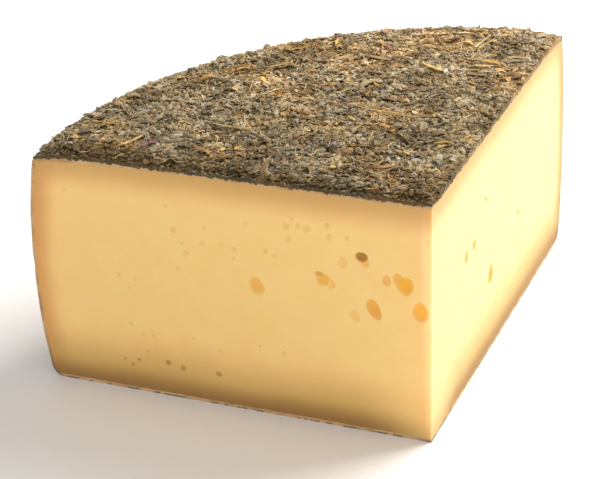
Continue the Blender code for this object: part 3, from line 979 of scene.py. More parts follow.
@dataclass
class CheeseWedge:
    """The wedge itself, as one closed mesh: two cut faces with eyes, the rim, the top and the base.

    The grids, margins and eye sizes of the flat faces are in millimetres.
    """

    skin: Skin
    eyes: EyeTables
    finish: PasteFinish
    edge_pitch: float = 1.5 * MM
    grid: float = 1.5
    base_margin: float = 0.8
    tip_margin: float = 0.7
    rim_margin: float = 1.3
    shoulder_margin: float = 2.0
    plan_grid: float = 5.0
    plan_cut_margin: float = 2.0
    plan_rim_margin: float = 3.0
    eye_spacing: float = 0.42
    least_ring: int = 12
    eye_rings: tuple[float, ...] = (1.25, 1.12, 1.04, 1.0, 0.985, 0.95, 0.88, 0.75, 0.55, 0.3)
    joined_reach: float = 1.1
    clear_reach: float = 1.3
    eye_margin: float = 0.25
    lip: float = 0.1
    glow_core: float = 0.72
    glow_edge: float = 1.04
    cut_wave: float = 0.09 * MM
    cut_layers: tuple[Triple, ...] = ((0.7, 16 * MM, 8.2), (0.3, 5 * MM, 2.2))
    calm_margin: float = 6.0
    rind_relief: float = 0.28 * MM
    rind_layers: tuple[Triple, ...] = ((0.6, 7 * MM, 3.1), (0.4, 2.4 * MM, 5.7))
    weld_distance: float = 0.004 * MM
    sharp_angle: float = 40.0

    def __post_init__(self) -> None:
        """Places the two cuts."""
        self.wheel = self.skin.wheel
        self.cuts = {side: KnifeCut(side, self.wheel) for side in Side}

    def rim_rows(self) -> np.ndarray:
        """The rim and its rounds as a grid of points, from the shoulder down and from cut to cut.

        Returns:
            The points, by row, column and coordinate.
        """
        columns = round(self.wheel.belly_radius * self.wheel.wedge_angle / self.wheel.rim_pitch)
        rows = []
        for radius, height in self.skin.outline[self.skin.shoulder_index:]:
            ends = []
            for cut in self.cuts.values():
                point = cut.at(cut.reach(radius, height), height)
                ends.append(math.atan2(point[1], -point[0]))
            turn = np.linspace(*ends, columns + 1)
            level = np.full_like(turn, height)
            rows.append(np.stack([-radius * np.cos(turn), radius * np.sin(turn), level], axis=1))
        grid = np.array(rows)
        flat = self.skin.waved(grid.reshape(-1, 3))
        outward = flat * (1, 1, 0) / np.hypot(flat[:, 0], flat[:, 1])[:, None]
        relief = ripples(flat, self.rind_layers) * np.clip(flat[:, 2] / self.wheel.foot_round, 0, 1)
        flat = flat + outward * (self.rind_relief * relief)[:, None]
        return flat.reshape(grid.shape)

    def grid_faces(self, rows: int, columns: int) -> Faces:
        """The quads of a grid of points, facing away from the wheel's axis."""
        starts = [row * columns + column for row in range(rows - 1) for column in range(columns - 1)]
        return [(start, start + columns, start + columns + 1, start + 1) for start in starts]

    def plan_face(self, border: np.ndarray, upward: bool) -> Surface:
        """The top or the base, from its outline.

        Args:
            border: The outline's points in space, in order.
            upward: True for the top and False for the base.

        Returns:
            The face.
        """
        flat = border[:, :2] / MM
        low, high = flat.min(axis=0), flat.max(axis=0)
        limit = self.skin.outline[self.skin.shoulder_index, 0] / MM - self.plan_rim_margin
        inner = []
        for x in np.arange(low[0], high[0], self.plan_grid):
            for y in np.arange(low[1], high[1], self.plan_grid):
                turn, radius = math.atan2(y, -x), math.hypot(x, y)
                turns = (turn, self.wheel.wedge_angle - turn)
                margin = min(radius * math.sin(max(0.0, value)) for value in turns)
                if margin > self.plan_cut_margin and radius < limit:
                    inner.append((x, y))
        flats, faces, numbers = flat_triangles(flat, inner)
        points = []
        for (x, y), number in zip(flats.tolist(), numbers):
            height = self.wheel.top_height(math.hypot(x, y) * MM) if upward else 0.0
            points.append(border[min(number)] if number else (x * MM, y * MM, height))
        return Surface(np.array(points), faces)

    def cut_face(self, side: Side, border: np.ndarray) -> Surface:
        """A cut face with its eyes.

        Args:
            side: Which cut it is.
            border: The face's outline in space, in order.

        Returns:
            The face.
        """
        cut, eyes = self.cuts[side], self.eyes.of(side)
        along = (border - cut.edge(border[:, 2])) @ cut.along
        inner = self.even_points(eyes)
        rings: list[tuple[int, int]] = []
        for number, eye in enumerate(eyes):
            self.add_eye_points(eye, eyes[:number] + eyes[number + 1:], inner, rings)
        flats, faces, numbers = flat_triangles(np.stack([along, border[:, 2]], axis=1) / MM, inner, rings)
        along, height = flats.T
        depth = np.max([eye.sink(along, height, self.lip) for eye in eyes], axis=0)
        reaches = np.array([eye.reach(along, height) for eye in eyes])
        # How much painted glow and how much stain each point of an eye gets.
        inside = np.clip((self.glow_edge - reaches) / (self.glow_edge - self.glow_core), 0, 1)
        inside = inside**2 * (3 - 2 * inside)
        shares = np.array([(eye.glow_tint, eye.stain) for eye in eyes]).T
        glow_tint, stain = (shares[:, :, None] * inside).max(axis=1)
        points = cut.at(along * MM, height * MM)
        wave = self.cut_wave * ripples(points, self.cut_layers)
        margin = np.minimum(np.minimum(along, height), self.wheel.height / MM - height)
        wave *= np.clip(margin / self.calm_margin, 0, 1)
        points += cut.outward * (wave - depth * MM)[:, None]
        for index, number in enumerate(numbers):
            if number:
                points[index] = border[min(number)]
        return Surface(points, faces, (glow_tint, stain))

    def even_points(self, eyes: list[Eye]) -> list[Pair]:
        """A honeycomb of points inside a cut face, clear of its sides and its eyes.

        Args:
            eyes: The eyes.

        Returns:
            Distance from the tip and height of each point.
        """
        wheel, grid = self.wheel, self.grid
        top, shoulder, foot = (size / MM for size in (wheel.height, wheel.shoulder_round, wheel.foot_round))
        points = []
        for number, height in enumerate(np.arange(grid * self.base_margin, top, grid * math.sqrt(0.75))):
            start = grid * self.tip_margin + 0.5 * grid * (number % 2)
            radius = wheel.rim_radius(height * MM) / MM
            if height > top - shoulder - self.shoulder_margin:
                radius -= shoulder
            if height < foot:
                radius -= foot
            for along in np.arange(start, radius - self.rim_margin * grid, grid):
                if height < wheel.top_height(along * MM) / MM - self.tip_margin * grid:
                    points.append((along, height))
        flat = np.array(points)
        clear = np.all([eye.reach(*flat.T) > self.clear_reach for eye in eyes], axis=0)
        return [tuple(point) for point in flat[clear].tolist()]

    def add_eye_points(
        self, eye: Eye, others: list[Eye], inner: list[Pair], rings: list[tuple[int, int]]
    ) -> None:
        """Adds the rings of points that shape an eye, leaving out those that another eye cuts away.

        Args:
            eye: The eye.
            others: The other eyes.
            inner: The points so far, which this adds to.
            rings: The edges so far, which this adds to.
        """
        tolerance = 1e-6
        around = math.pi * (eye.width + eye.tall) / 2
        count = max(self.least_ring, round(around / self.eye_spacing))
        for reach in self.eye_rings:
            ring = eye.ring(reach, count)
            own = eye.sink(*ring.T, self.lip)
            free = (ring > self.eye_margin).all(axis=1)
            for other in others:
                free &= own >= other.sink(*ring.T, self.lip) - tolerance
            numbers = []
            for point, kept in zip(ring.tolist(), free):
                numbers.append(len(inner) if kept else -1)
                if kept:
                    inner.append(tuple(point))
            if reach < self.joined_reach:
                rings += [pair for pair in zip(numbers, numbers[1:] + numbers[:1]) if min(pair) >= 0]
        if not any(other.reach(eye.from_tip, eye.height) < 1 for other in others):
            inner.append((eye.from_tip, eye.height))

    def straight(self, start: np.ndarray, end: np.ndarray, upward: bool) -> np.ndarray:
        """The line in which a cut meets the top or the base.

        Args:
            start: The tip's end of it.
            end: The rim's end of it.
            upward: True on the top, whose edge falls a little towards the rim.

        Returns:
            Its points.
        """
        steps = round(float(np.linalg.norm(end - start)) / self.edge_pitch)
        line = start + (end - start) * np.linspace(0, 1, steps + 1)[:, None]
        if upward:
            radius = np.hypot(line[:, 0], line[:, 1])
            line[1:-1, 2] = [self.wheel.top_height(value) for value in radius[1:-1]]
        return line

    def build(self) -> bpy.types.Mesh:
        """Builds the closed mesh.

        Returns:
            The mesh, with the values eye and stain.
        """
        rim = self.rim_rows()
        rows, columns = rim.shape[:2]
        edge_steps = round(self.wheel.height / self.edge_pitch)
        tip_edge = self.cuts[Side.FRONT].edge(np.linspace(0, self.wheel.height, edge_steps + 1))
        ends = {Side.FRONT: 0, Side.OTHER: columns - 1}
        top = {side: self.straight(tip_edge[-1], rim[0, column], True) for side, column in ends.items()}
        base = {side: self.straight(tip_edge[0], rim[-1, column], False) for side, column in ends.items()}
        parts = [Surface(rim.reshape(-1, 3), self.grid_faces(rows, columns))]
        for lines, row, upward in ((top, rim[0], True), (base, rim[-1], False)):
            border = np.concatenate([lines[Side.FRONT][:-1], row[:-1], lines[Side.OTHER][::-1][:-1]])
            parts.append(self.plan_face(border, upward))
        for side, column in ends.items():
            sides = (top[side], rim[:, column], base[side][::-1], tip_edge)
            parts.append(self.cut_face(side, np.concatenate([line[:-1] for line in sides])))
        return self.welded(parts)

    def welded(self, parts: list[Surface]) -> bpy.types.Mesh:
        """Joins the faces of the wedge along their shared outlines.

        Args:
            parts: The faces.

        Returns:
            The closed mesh.
        """
        bm = bmesh.new()
        layers = [bm.verts.layers.float.new(name) for name in ("eye", "stain")]
        for part in parts:
            corners = [bm.verts.new(point) for point in self.skin.to_row(part.points).tolist()]
            for layer, values in zip(layers, part.values or ()):
                for vertex, value in zip(corners, values.tolist()):
                    vertex[layer] = value
            for face in part.faces:
                bm.faces.new([corners[index] for index in face])
        bmesh.ops.remove_doubles(bm, verts=bm.verts, dist=self.weld_distance)
        bmesh.ops.recalc_face_normals(bm, faces=bm.faces)
        for face in bm.faces:
            face.smooth = True
        open_edges = sum(1 for edge in bm.edges if len(edge.link_faces) != 2)
        LOG.info("wedge: %d open edges", open_edges)
        mesh = bpy.data.meshes.new("paste_and_rind")
        bm.to_mesh(mesh)
        bm.free()
        mesh.set_sharp_from_angle(angle=math.radians(self.sharp_angle))
        return mesh

    def dress(self) -> bpy.types.Object:
        """Builds the wedge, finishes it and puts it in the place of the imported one.

        Returns:
            The piece.
        """
        piece = place_piece("paste_and_rind", self.build(), self.finish.material(self.wheel))
        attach(piece, "root")
        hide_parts("cheese_wedge")
        return piece


@dataclass(frozen=True)
class CoatTone:
    """How the whole coat's colour drifts: dark and warm patches, painted shade that makes it darker and blotchy
    along the front cut, and painted light that makes it lighter towards the back.
    """

    front_line: float
    # dark: multiplied in for the random dark patches and for the painted shade along the front cut.
    dark: Colour = (0.38, 0.35, 0.30, 1.0)
    patch: Patches = Patches(12 * MM, 1.5, 0.56, 0.38, 0.62)
    hollow: Patches = Patches(3.6 * MM, 1.5, 0.5, 0.36, 0.4)
    # Painted shade: the coat darkens over this width towards the front cut, whose edge faces away from the
    # light.
    front_shade_width: float = 17 * MM
    front_shade_share: float = 0.55
    # Painted shadows: dark blotches just inside the front cut, standing in for the shade in hollows under
    # overhanging bits.
    shadow_blotch: Patches = Patches(6 * MM, 2, 0.42, 0.6, 0.6)
    shadow_blotch_reach: Pair = (3.6 * MM, 0.72 * MM)
    warm: Colour = (1.28, 1.14, 0.94, 1.0)
    sunny: Patches = Patches(20 * MM, 1, 0.45, 0.6, 0.9)
    # Painted light: the coat grows lighter towards the back, where the light falls more fully.
    back: Colour = (1.3, 1.24, 1.2, 1.0)
    back_light_reach: Pair = (15 * MM, 110 * MM)

    def apply(self, graph: Graph, colour: Socket) -> Socket:
        """Darkens or warms a colour in patches, adds painted shade along the front cut and painted light towards
        the back.

        Args:
            graph: The material.
            colour: The bit's own colour.

        Returns:
            The changed colour.
        """
        inside = graph.minus(graph.split("SeparateXYZ", graph.place())["Y"], self.front_line)
        share = graph.math("ADD", graph.patches(self.patch), graph.patches(self.hollow))
        # Painted shade along the front cut, added to the random dark patches.
        share = graph.line(graph.fade(inside, self.front_shade_width, 0.0), self.front_shade_share, share)
        # Painted shadow blotches just inside the front cut.
        shadow_blotch = graph.times(graph.fade(inside, *self.shadow_blotch_reach), graph.patches(self.shadow_blotch))
        share = graph.math("MINIMUM", graph.math("ADD", shadow_blotch, share), 1.0)
        colour = graph.mix(graph.patches(self.sunny), colour, self.warm, "MULTIPLY")
        # Painted light, lighter towards the back.
        colour = graph.mix(graph.fade(inside, *self.back_light_reach), colour, self.back, "MULTIPLY")
        return graph.mix(share, colour, self.dark, "MULTIPLY")


@dataclass(frozen=True)
class MatFinish:
    """Matted herb crumbs: many small bits from dark brown to grey olive."""

    tone: CoatTone
    stops: Stops = shades(
        (0.0, 98, 78, 50), (0.35, 128, 108, 74), (0.6, 148, 128, 92), (0.85, 168, 148, 110),
        (1.0, 200, 180, 138),
    )
    crumb: float = 0.9 * MM
    cloud: float = 6 * MM
    gain: float = 1.7
    relief: float = 0.4 * MM
    grain: float = 0.5 * MM
    grain_share: float = 0.4

    def material(self) -> bpy.types.Material:
        """Makes the material.

        Returns:
            The material.
        """
        graph = Graph("herb_mat")
        crumb = graph.split("SeparateColor", graph.cells(self.crumb))[0]
        value = graph.times(crumb, graph.noise(self.cloud, 3))
        colour = graph.ramp(graph.times(value, self.gain), self.stops)
        colour = self.tone.apply(graph, colour)
        graph.surface({"Base Color": colour, "Roughness": 0.9, "Specular IOR Level": 0.2})
        graph.bump(graph.cells(self.crumb, "Distance"), 0.7, self.relief)
        graph.bump(graph.noise(self.grain, 3), 0.5, self.grain_share * self.relief)
        return graph.material


@dataclass(frozen=True)
class Coat:
    """The region of the skin that the herbs cover, and how thick they lie."""

    skin: Skin
    thickness: float = 1.9 * MM
    edge_thickness: float = 0.7 * MM
    taper: float = 6 * MM
    cut_share: float = 0.42
    cut_round: float = 4.5 * MM
    shoulder_share: float = 0.75
    corner_size: float = 16 * MM
    corner_share: float = 0.3
    grid: float = 1.15 * MM
    bumps: float = 0.8 * MM
    gap: float = 0.05 * MM

    @property
    def length(self) -> float:
        """How far the coat reaches along the skin from the middle of the top."""
        return self.skin.top_length + self.shoulder_share * self.skin.shoulder_length

    def fullness(self, length: np.ndarray, turn: np.ndarray) -> np.ndarray:
        """How full the coat is: 1 in its middle, and less towards the rim, the cuts and the two corners.

        Args:
            length: Lengths along the skin.
            turn: Turns from the front cut.

        Returns:
            The shares.
        """
        inward = np.clip(self.length - length, 0, None)
        edge = self.edge_thickness / self.thickness
        share = edge + (1 - edge) * np.clip(inward / self.taper, 0, 1)
        sideways = np.clip(length * np.minimum(turn, self.skin.wheel.wedge_angle - turn), 0, None)
        corner = np.clip(np.hypot(inward, sideways) / self.corner_size, 0, 1)
        near_cut = np.sin(np.clip(sideways / self.cut_round, 0, 1) * math.pi / 2)
        share *= self.cut_share + (1 - self.cut_share) * near_cut
        return share * (self.corner_share + (1 - self.corner_share) * corner)

    def depth_at(self, length: np.ndarray, turn: np.ndarray) -> np.ndarray:
        """How thick the mat is at places on the skin."""
        return self.thickness * self.fullness(length, turn)


@dataclass
class HerbMat:
    """The matted layer of crushed herbs, on which the loose bits lie."""

    coat: Coat
    finish: MatFinish
    seed: int = 11
    raggedness: float = 0.9 * MM
    rim_margin: float = 1.5 * MM
    jitter: float = 0.2
    bump_layers: tuple[Triple, ...] = ((0.6, 4.2 * MM, 1.3), (0.4, 1.7 * MM, 4.4))

    def __post_init__(self) -> None:
        """Starts the random draws."""
        self.skin = self.coat.skin
        self.angle = self.skin.wheel.wedge_angle
        self.rng = np.random.default_rng(self.seed)

    def border(self) -> np.ndarray:
        """The coat's outline in a flat cutting plan, out along the front cut and back along the other.

        Returns:
            The points, in millimetres.
        """
        coat = self.coat
        steps = round(coat.length / coat.grid)
        out = np.linspace(0, coat.length, steps + 1)[:-1]
        curved = round(coat.length * self.angle / coat.grid)
        turns = np.linspace(0, self.angle, curved + 1)[:-1]
        ragged = self.rng.uniform(0, self.raggedness, curved)
        ragged[0] = 0
        back = np.linspace(coat.length, 0, steps + 1)[:-1]
        front_line = np.stack([out, 0 * out], axis=1)
        arc = (coat.length - ragged)[:, None] * np.stack([np.cos(turns), np.sin(turns)], axis=1)
        back_line = back[:, None] * np.array([math.cos(self.angle), math.sin(self.angle)])
        return np.concatenate([front_line, arc, back_line]) / MM

    def inner(self) -> list[Pair]:
        """Evenly spread points inside the cutting plan.

        Returns:
            The points, in millimetres.
        """
        pitch, limit = self.coat.grid / MM, self.coat.length / MM
        past_tip = 0.1 * limit
        points = []
        for row, y in enumerate(np.arange(0, limit, pitch * math.sqrt(0.75))):
            for x in np.arange(-past_tip, limit, pitch) + 0.5 * pitch * (row % 2):
                radius, turn = math.hypot(x, y), math.atan2(y, x)
                within = 0 < turn < self.angle and radius <= limit - self.rim_margin / MM
                if within and radius * min(math.sin(turn), math.sin(self.angle - turn)) > 0.5 * pitch:
                    points.append((x, y))
        reach = self.jitter * pitch
        jitter = self.rng.uniform(-reach, reach, (len(points), 2))
        return [tuple(point) for point in (np.array(points) + jitter).tolist()]

    def build(self) -> bpy.types.Mesh:
        """Builds the closed mesh.

        Returns:
            The mesh.
        """
        border = self.border()
        flats, faces, numbers = flat_triangles(border, self.inner())
        flat = flats * MM
        length, turn = np.hypot(flat[:, 0], flat[:, 1]), np.arctan2(flat[:, 1], flat[:, 0])
        base, _, _ = self.skin.place(length, turn, np.array(0.0))
        bumps = ripples(base, self.bump_layers)
        fullness = self.coat.fullness(length, turn)
        lift = self.coat.thickness * fullness + self.coat.bumps * bumps * fullness
        upper, _, _ = self.skin.place(length, turn, lift)
        lower, _, _ = self.skin.place(length, turn, np.array(self.coat.gap))
        count = len(upper)
        rim_of = {index: place for place, number in enumerate(numbers) for index in number}
        walls = []
        for index in range(len(border)):
            first, second = rim_of[index], rim_of[(index + 1) % len(border)]
            walls += [(first, first + count, second + count), (first, second + count, second)]
        tops = np.array(faces)
        triangles = np.concatenate([tops, tops[:, ::-1] + count, np.array(walls)])
        mesh = triangle_mesh("herb_mat", np.concatenate([upper, lower]), triangles, False)
        bm = bmesh.new()
        bm.from_mesh(mesh)
        bmesh.ops.recalc_face_normals(bm, faces=bm.faces)
        bm.to_mesh(mesh)
        bm.free()
        return mesh

    def dress(self) -> bpy.types.Object:
        """Builds the mat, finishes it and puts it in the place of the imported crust.

        Returns:
            The piece.
        """
        piece = place_piece("herb_mat", self.build(), self.finish.material())
        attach(piece, "root")
        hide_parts("hay_flower_crust")
        return piece


class Outline(Enum):
    """The kinds of loose bit, by their section: points as half widths across and half depths up."""

    CRUMB = ((-1, 0), (0.1, 1), (1, 0), (-0.1, -1))
    LEAF = ((-1, 0.1), (-0.5, 0.8), (0.5, 0.8), (1, 0.1), (0.5, -0.7), (-0.5, -0.7))
    STRAW = ((-0.87, -0.5), (0.87, -0.5), (0, 1))
    PETAL = ((-1, 0.2), (-0.5, 0.9), (0, 0.35), (0.5, 0.9), (1, 0.2), (0.5, -0.5), (0, -1), (-0.5, -0.5))


@dataclass(frozen=True)
class BitShape:
    """The form of one kind of bit: a tube with two pointed ends. Sizes are in metres."""

    outline: Outline
    stations: tuple[Pair, ...]
    length: Pair
    width: Pair
    depth: Pair
    arch: float = 0.1
    sway: float = 0.06
    twist: float = 0.4
    cup: float = 0.25
    crumple: float = 0.0
    end_depth: float = 0.4
    smooth: bool = False

    def template(self) -> tuple[np.ndarray, np.ndarray]:
        """The points and triangles of one bit.

        Returns:
            The points, as parts of the length, the half width and the half depth, and the triangles.
        """
        ring = self.outline.value
        sides, rind_and_shade_bands = len(ring), len(self.stations) - 1
        points = [(-0.5, 0.0, 0.0)]
        for along, scale in self.stations:
            deep = self.end_depth + (1 - self.end_depth) * scale
            points += [(along, scale * across, deep * up) for across, up in ring]
        points.append((0.5, 0.0, 0.0))
        last, end = len(points) - 1, 1 + rind_and_shade_bands * sides
        triangles = []
        for side in range(sides):
            following = (side + 1) % sides
            triangles += [(0, 1 + side, 1 + following), (last, end + following, end + side)]
            for band in range(rind_and_shade_bands):
                first, second = 1 + band * sides + side, 1 + band * sides + following
                triangles += [(first, first + sides, second + sides), (first, second + sides, second)]
        return np.array(points), np.array(triangles)


@dataclass(frozen=True)
class BitFinish:
    """Dry plant bits: each bit has its own shade, a painted highlight along its edges, and fine veins."""

    name: str
    stops: Stops
    # edge: a painted highlight, the light that the bits' curled rims catch.
    edge: Colour
    edge_highlight_share: float = 0.3
    patch_share: float = 0.14
    edge_highlight_fade: Pair = (0.45, 1.0)
    patch_size: float = 1.3 * MM
    patch_fade: Pair = (0.35, 0.7)
    roughness: float = 0.8
    vein: float = 0.35 * MM
    relief: float = 0.06 * MM
    translucence: float = 0.25
    light_depth: Triple = (1.2 * MM, 0.9 * MM, 0.6 * MM)

    def material(self, tone: CoatTone) -> bpy.types.Material:
        """Makes the material.

        Args:
            tone: How the coat's colour drifts.

        Returns:
            The material.
        """
        graph = Graph(self.name)
        colour = graph.ramp(graph.value("shade"), self.stops)
        patches = Patches(self.patch_size, 3, *self.patch_fade, self.patch_share)
        colour = graph.mix(graph.patches(patches), colour, self.stops[0][1])
        # Painted highlight along each bit's edges.
        edge = graph.times(graph.fade(graph.value("across"), *self.edge_highlight_fade), self.edge_highlight_share)
        colour = graph.mix(edge, colour, self.edge)
        graph.surface({
            "Base Color": tone.apply(graph, colour),
            "Roughness": self.roughness,
            "Specular IOR Level": 0.1,
            "Subsurface Weight": self.translucence,
            "Subsurface Radius": self.light_depth,
            "Subsurface Scale": 1.0,
        })
        graph.bump(graph.noise(self.vein, 3), 0.6, self.relief)
        return graph.material


@dataclass(frozen=True)
class Mark:
    """One large bit in its own place: from the tip and its length in millimetres, its turns in degrees."""

    from_tip: float
    turn: float
    heading: float
    size: float
    shade: float = 0.5


@dataclass(frozen=True)
class Bits:
    """A scatter of one kind of bit over the coat."""

    name: str
    shape: BitShape
    finish: BitFinish
    count: int
    lift: Pair = (0.0, 1.2 * MM)
    tilt: float = 9.0
    roll: float = 14.0
    margin: float = 0.0
    bunch: int = 1
    bunch_size: float = 2.5 * MM
    start: float = 0.0
    on_walls: int = 0
    on_rim: int = 0
    marks: tuple[Mark, ...] = ()


@dataclass
class Spots:
    """Where bits lie: points, outward directions, directions round the wheel, headings and lengths.

    Each has its shade from 0 to 1, and its calm, which is the share of the tilt, roll and bending that it gets.
    """

    points: np.ndarray
    normal: np.ndarray
    around: np.ndarray
    heading: np.ndarray
    long: np.ndarray
    shade: np.ndarray
    calm: np.ndarray

    @classmethod
    def joined(cls, groups: list["Spots"]) -> "Spots":
        """Puts several groups of spots one after another."""
        return cls(*(np.concatenate(values) for values in zip(*(vars(group).values() for group in groups))))


def turned(first: np.ndarray, second: np.ndarray, angle: np.ndarray) -> tuple[np.ndarray, np.ndarray]:
    """Turns two coordinates, from the first axis towards the second."""
    sine, cosine = np.sin(angle), np.cos(angle)
    return first * cosine - second * sine, first * sine + second * cosine


@dataclass
class Scatter:
    """Lays bits on the coat as joined meshes, one piece for each kind."""

    coat: Coat
    tone: CoatTone
    seed: int = 12
    proud: float = 0.25 * MM
    knife_press: float = 0.9
    bunch_spread: float = 0.5
    edge_calm: float = 0.4
    tip_margin: float = 2 * MM
    least_radius: float = 10 * MM
    wall_margins: Pair = (0.5 * MM, 2 * MM)
    wall_lift: Pair = (0.35, 1.0)
    wall_heading: float = 0.45
    wall_length: Pair = (0.35, 0.7)
    wall_calm: float = 1.2
    rim_foot_gap: float = 4 * MM
    rim_crowding: float = 1.7
    rim_margin: float = 0.01
    rim_lift: Pair = (0.02, 0.12)
    rim_calm: float = 0.2
    side_shade: Pair = (0, 0.8)
    mark_lift: float = 0.45 * MM
    mark_calm: float = 0.35
    arch_bias: float = 0.3
    cup_bias: float = 0.4

    def __post_init__(self) -> None:
        """Starts the random draws."""
        self.skin = self.coat.skin
        self.rng = np.random.default_rng(self.seed)

    def places(self, bits: Bits) -> tuple[np.ndarray, np.ndarray]:
        """Random places on the coat, evenly by area, or in bunches.

        Args:
            bits: What is laid.

        Returns:
            Lengths along the skin and turns from the front cut.
        """
        angle = self.skin.wheel.wedge_angle
        centres = math.ceil(bits.count / bits.bunch)
        limit = self.coat.length - bits.margin
        length = np.sqrt(self.rng.uniform(bits.start**2, limit**2, centres))
        turn = self.rng.uniform(0, angle, centres)
        if bits.margin:
            side = np.minimum(bits.margin / np.maximum(length, bits.margin), 0.5 * angle)
            turn = side + (angle - 2 * side) * turn / angle
        if bits.bunch > 1:
            length, turn = (np.repeat(values, bits.bunch)[:bits.count] for values in (length, turn))
            length = length + self.rng.normal(0, self.bunch_spread, bits.count) * bits.bunch_size
            shift = self.rng.normal(0, self.bunch_spread, bits.count) * bits.bunch_size
            turn = np.clip(turn + shift / np.maximum(length, self.least_radius), 0, angle)
            length = np.clip(length, self.tip_margin, limit)
        return length, turn

    def top_spots(self, bits: Bits) -> Spots:
        """Random spots on the coat's top.

        Args:
            bits: What is laid.

        Returns:
            The spots.
        """
        rng = self.rng
        length, turn = self.places(bits)
        count = len(length)
        fullness = self.coat.fullness(length, turn)
        lift = self.coat.depth_at(length, turn) + rng.uniform(*bits.lift, count) * fullness
        points, normal, around = self.skin.place(length, turn, lift)
        heading, long = rng.uniform(0, math.tau, count), rng.uniform(*bits.shape.length, count)
        calm = self.edge_calm + (1 - self.edge_calm) * fullness
        return Spots(points, normal, around, heading, long, rng.uniform(0, 1, count), calm)

    def wall_spots(self, bits: Bits, side: Side) -> Spots:
        """Random spots on the coat's upright edge at a cut.

        Args:
            bits: What is laid.
            side: The cut.

        Returns:
            The spots.
        """
        rng, count = self.rng, bits.on_walls
        cut = KnifeCut(side, self.skin.wheel)
        length = rng.uniform(self.wall_margins[0], self.coat.length - self.wall_margins[1], count)
        turn = np.full(count, 0.0 if side is Side.FRONT else self.skin.wheel.wedge_angle)
        lift = rng.uniform(*self.wall_lift, count) * self.coat.depth_at(length, turn)
        points, _, _ = self.skin.place(length, turn, lift)
        normal, around = (np.tile(direction, (count, 1)) for direction in (cut.outward, cut.along))
        heading = rng.normal(0, self.wall_heading, count)
        long = rng.uniform(*self.wall_length, count) * np.mean(bits.shape.length)
        shade = rng.uniform(*self.side_shade, count)
        return Spots(points, normal, around, heading, long, shade, np.full(count, self.wall_calm))

    def rim_spots(self, bits: Bits) -> Spots:
        """Random spots on the rim's rind, closer together near the coat.

        Args:
            bits: What is laid.

        Returns:
            The spots.
        """
        rng, count = self.rng, bits.on_rim
        reach = self.skin.foot_length - self.coat.length - self.rim_foot_gap
        length = self.coat.length + reach * rng.uniform(0, 1, count) ** self.rim_crowding
        turn = rng.uniform(self.rim_margin, self.skin.wheel.wedge_angle - self.rim_margin, count)
        points, normal, around = self.skin.place(length, turn, rng.uniform(*self.rim_lift, count) * MM)
        heading, long = rng.uniform(0, math.tau, count), rng.uniform(*bits.shape.length, count)
        shade = rng.uniform(*self.side_shade, count)
        return Spots(points, normal, around, heading, long, shade, np.full(count, self.rim_calm))

    def mark_spots(self, bits: Bits) -> Spots:
        """The spots of the bits that have their own places.

        Args:
            bits: What is laid.

        Returns:
            The spots.
        """
        from_tip, turn, heading, size, shade = np.array([astuple(mark) for mark in bits.marks]).T
        length, turn = from_tip * MM, np.radians(turn)
        lift = self.coat.depth_at(length, turn) + bits.lift[1] + self.mark_lift
        points, normal, around = self.skin.place(length, turn, lift)
        calm = np.full(len(length), self.mark_calm)
        return Spots(points, normal, around, np.radians(heading), size * MM, shade, calm)

    def spread(self, bits: Bits) -> bpy.types.Object:
        """Scatters bits over the whole coat.

        Args:
            bits: What is scattered.

        Returns:
            The piece.
        """
        groups = [self.top_spots(bits)]
        if bits.on_walls:
            groups += [self.wall_spots(bits, side) for side in Side]
        if bits.on_rim:
            groups.append(self.rim_spots(bits))
        if bits.marks:
            groups.append(self.mark_spots(bits))
        return self.lay(bits, Spots.joined(groups))

    def lay(self, bits: Bits, spots: Spots) -> bpy.types.Object:
        """Lays bits and joins them into one piece.

        Args:
            bits: What is laid.
            spots: Where each lies.

        Returns:
            The piece.
        """
        template, triangles = bits.shape.template()
        count = len(spots.long)
        points = self.trimmed(self.formed(bits, spots, template))
        shifts = (np.arange(count) * len(template))[:, None, None]
        triangles = (triangles[None] + shifts).reshape(-1, 3)
        mesh = triangle_mesh(bits.name, points.reshape(-1, 3), triangles, bits.shape.smooth)
        across = np.abs(template[:, 1])
        set_values(mesh, "shade", np.repeat(spots.shade, len(template)))
        set_values(mesh, "across", np.tile(across / across.max(), count))
        piece = place_piece(bits.name, mesh, bits.finish.material(self.tone))
        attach(piece, "root")
        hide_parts("hay_flower_crust")
        return piece

    def formed(self, bits: Bits, spots: Spots, template: np.ndarray) -> np.ndarray:
        """Bends, turns and places every bit.

        Args:
            bits: What is laid.
            spots: Where each lies.
            template: The points of one bit.

        Returns:
            The points, by bit, point and coordinate.
        """
        rng, shape, count = self.rng, bits.shape, len(spots.long)

        def varied(middle: float, spread: float) -> np.ndarray:
            """A random value for each bit, as a column."""
            return rng.normal(middle, 1, count)[:, None] * spread

        long, calm, heading = spots.long[:, None], spots.calm[:, None], spots.heading[:, None]
        wide = rng.uniform(*shape.width, count)[:, None] * (long / np.mean(shape.length)) ** 0.5
        deep = rng.uniform(*shape.depth, count)[:, None]
        tilt, roll = np.radians(varied(0, bits.tilt)) * calm, np.radians(varied(0, bits.roll)) * calm
        along, across, up = (values[None] for values in template.T)
        bend = 1 - 4 * along**2
        phase = rng.uniform(0, math.tau, count)[:, None]
        x = long * along
        y = wide / 2 * across + long * varied(0, shape.sway) * bend
        z = deep / 2 * up + long * varied(self.arch_bias, shape.arch) * bend * calm
        z = z + wide / 2 * across * varied(0, shape.twist) * 2 * along
        z = z + wide / 2 * across**2 * varied(self.cup_bias, shape.cup) * calm
        folds = np.sin(9 * along + phase) * (0.4 + across) + np.sin(5 * across - phase)
        z = z + wide / 2 * shape.crumple * calm * folds
        y, z = turned(y, z, roll)
        x, z = turned(x, z, tilt)
        x, y = turned(x, y, heading)
        out = np.cross(spots.normal, spots.around)
        directions = ((x, spots.around), (y, out), (z, spots.normal))
        return spots.points[:, None] + sum(part[..., None] * way[:, None] for part, way in directions)

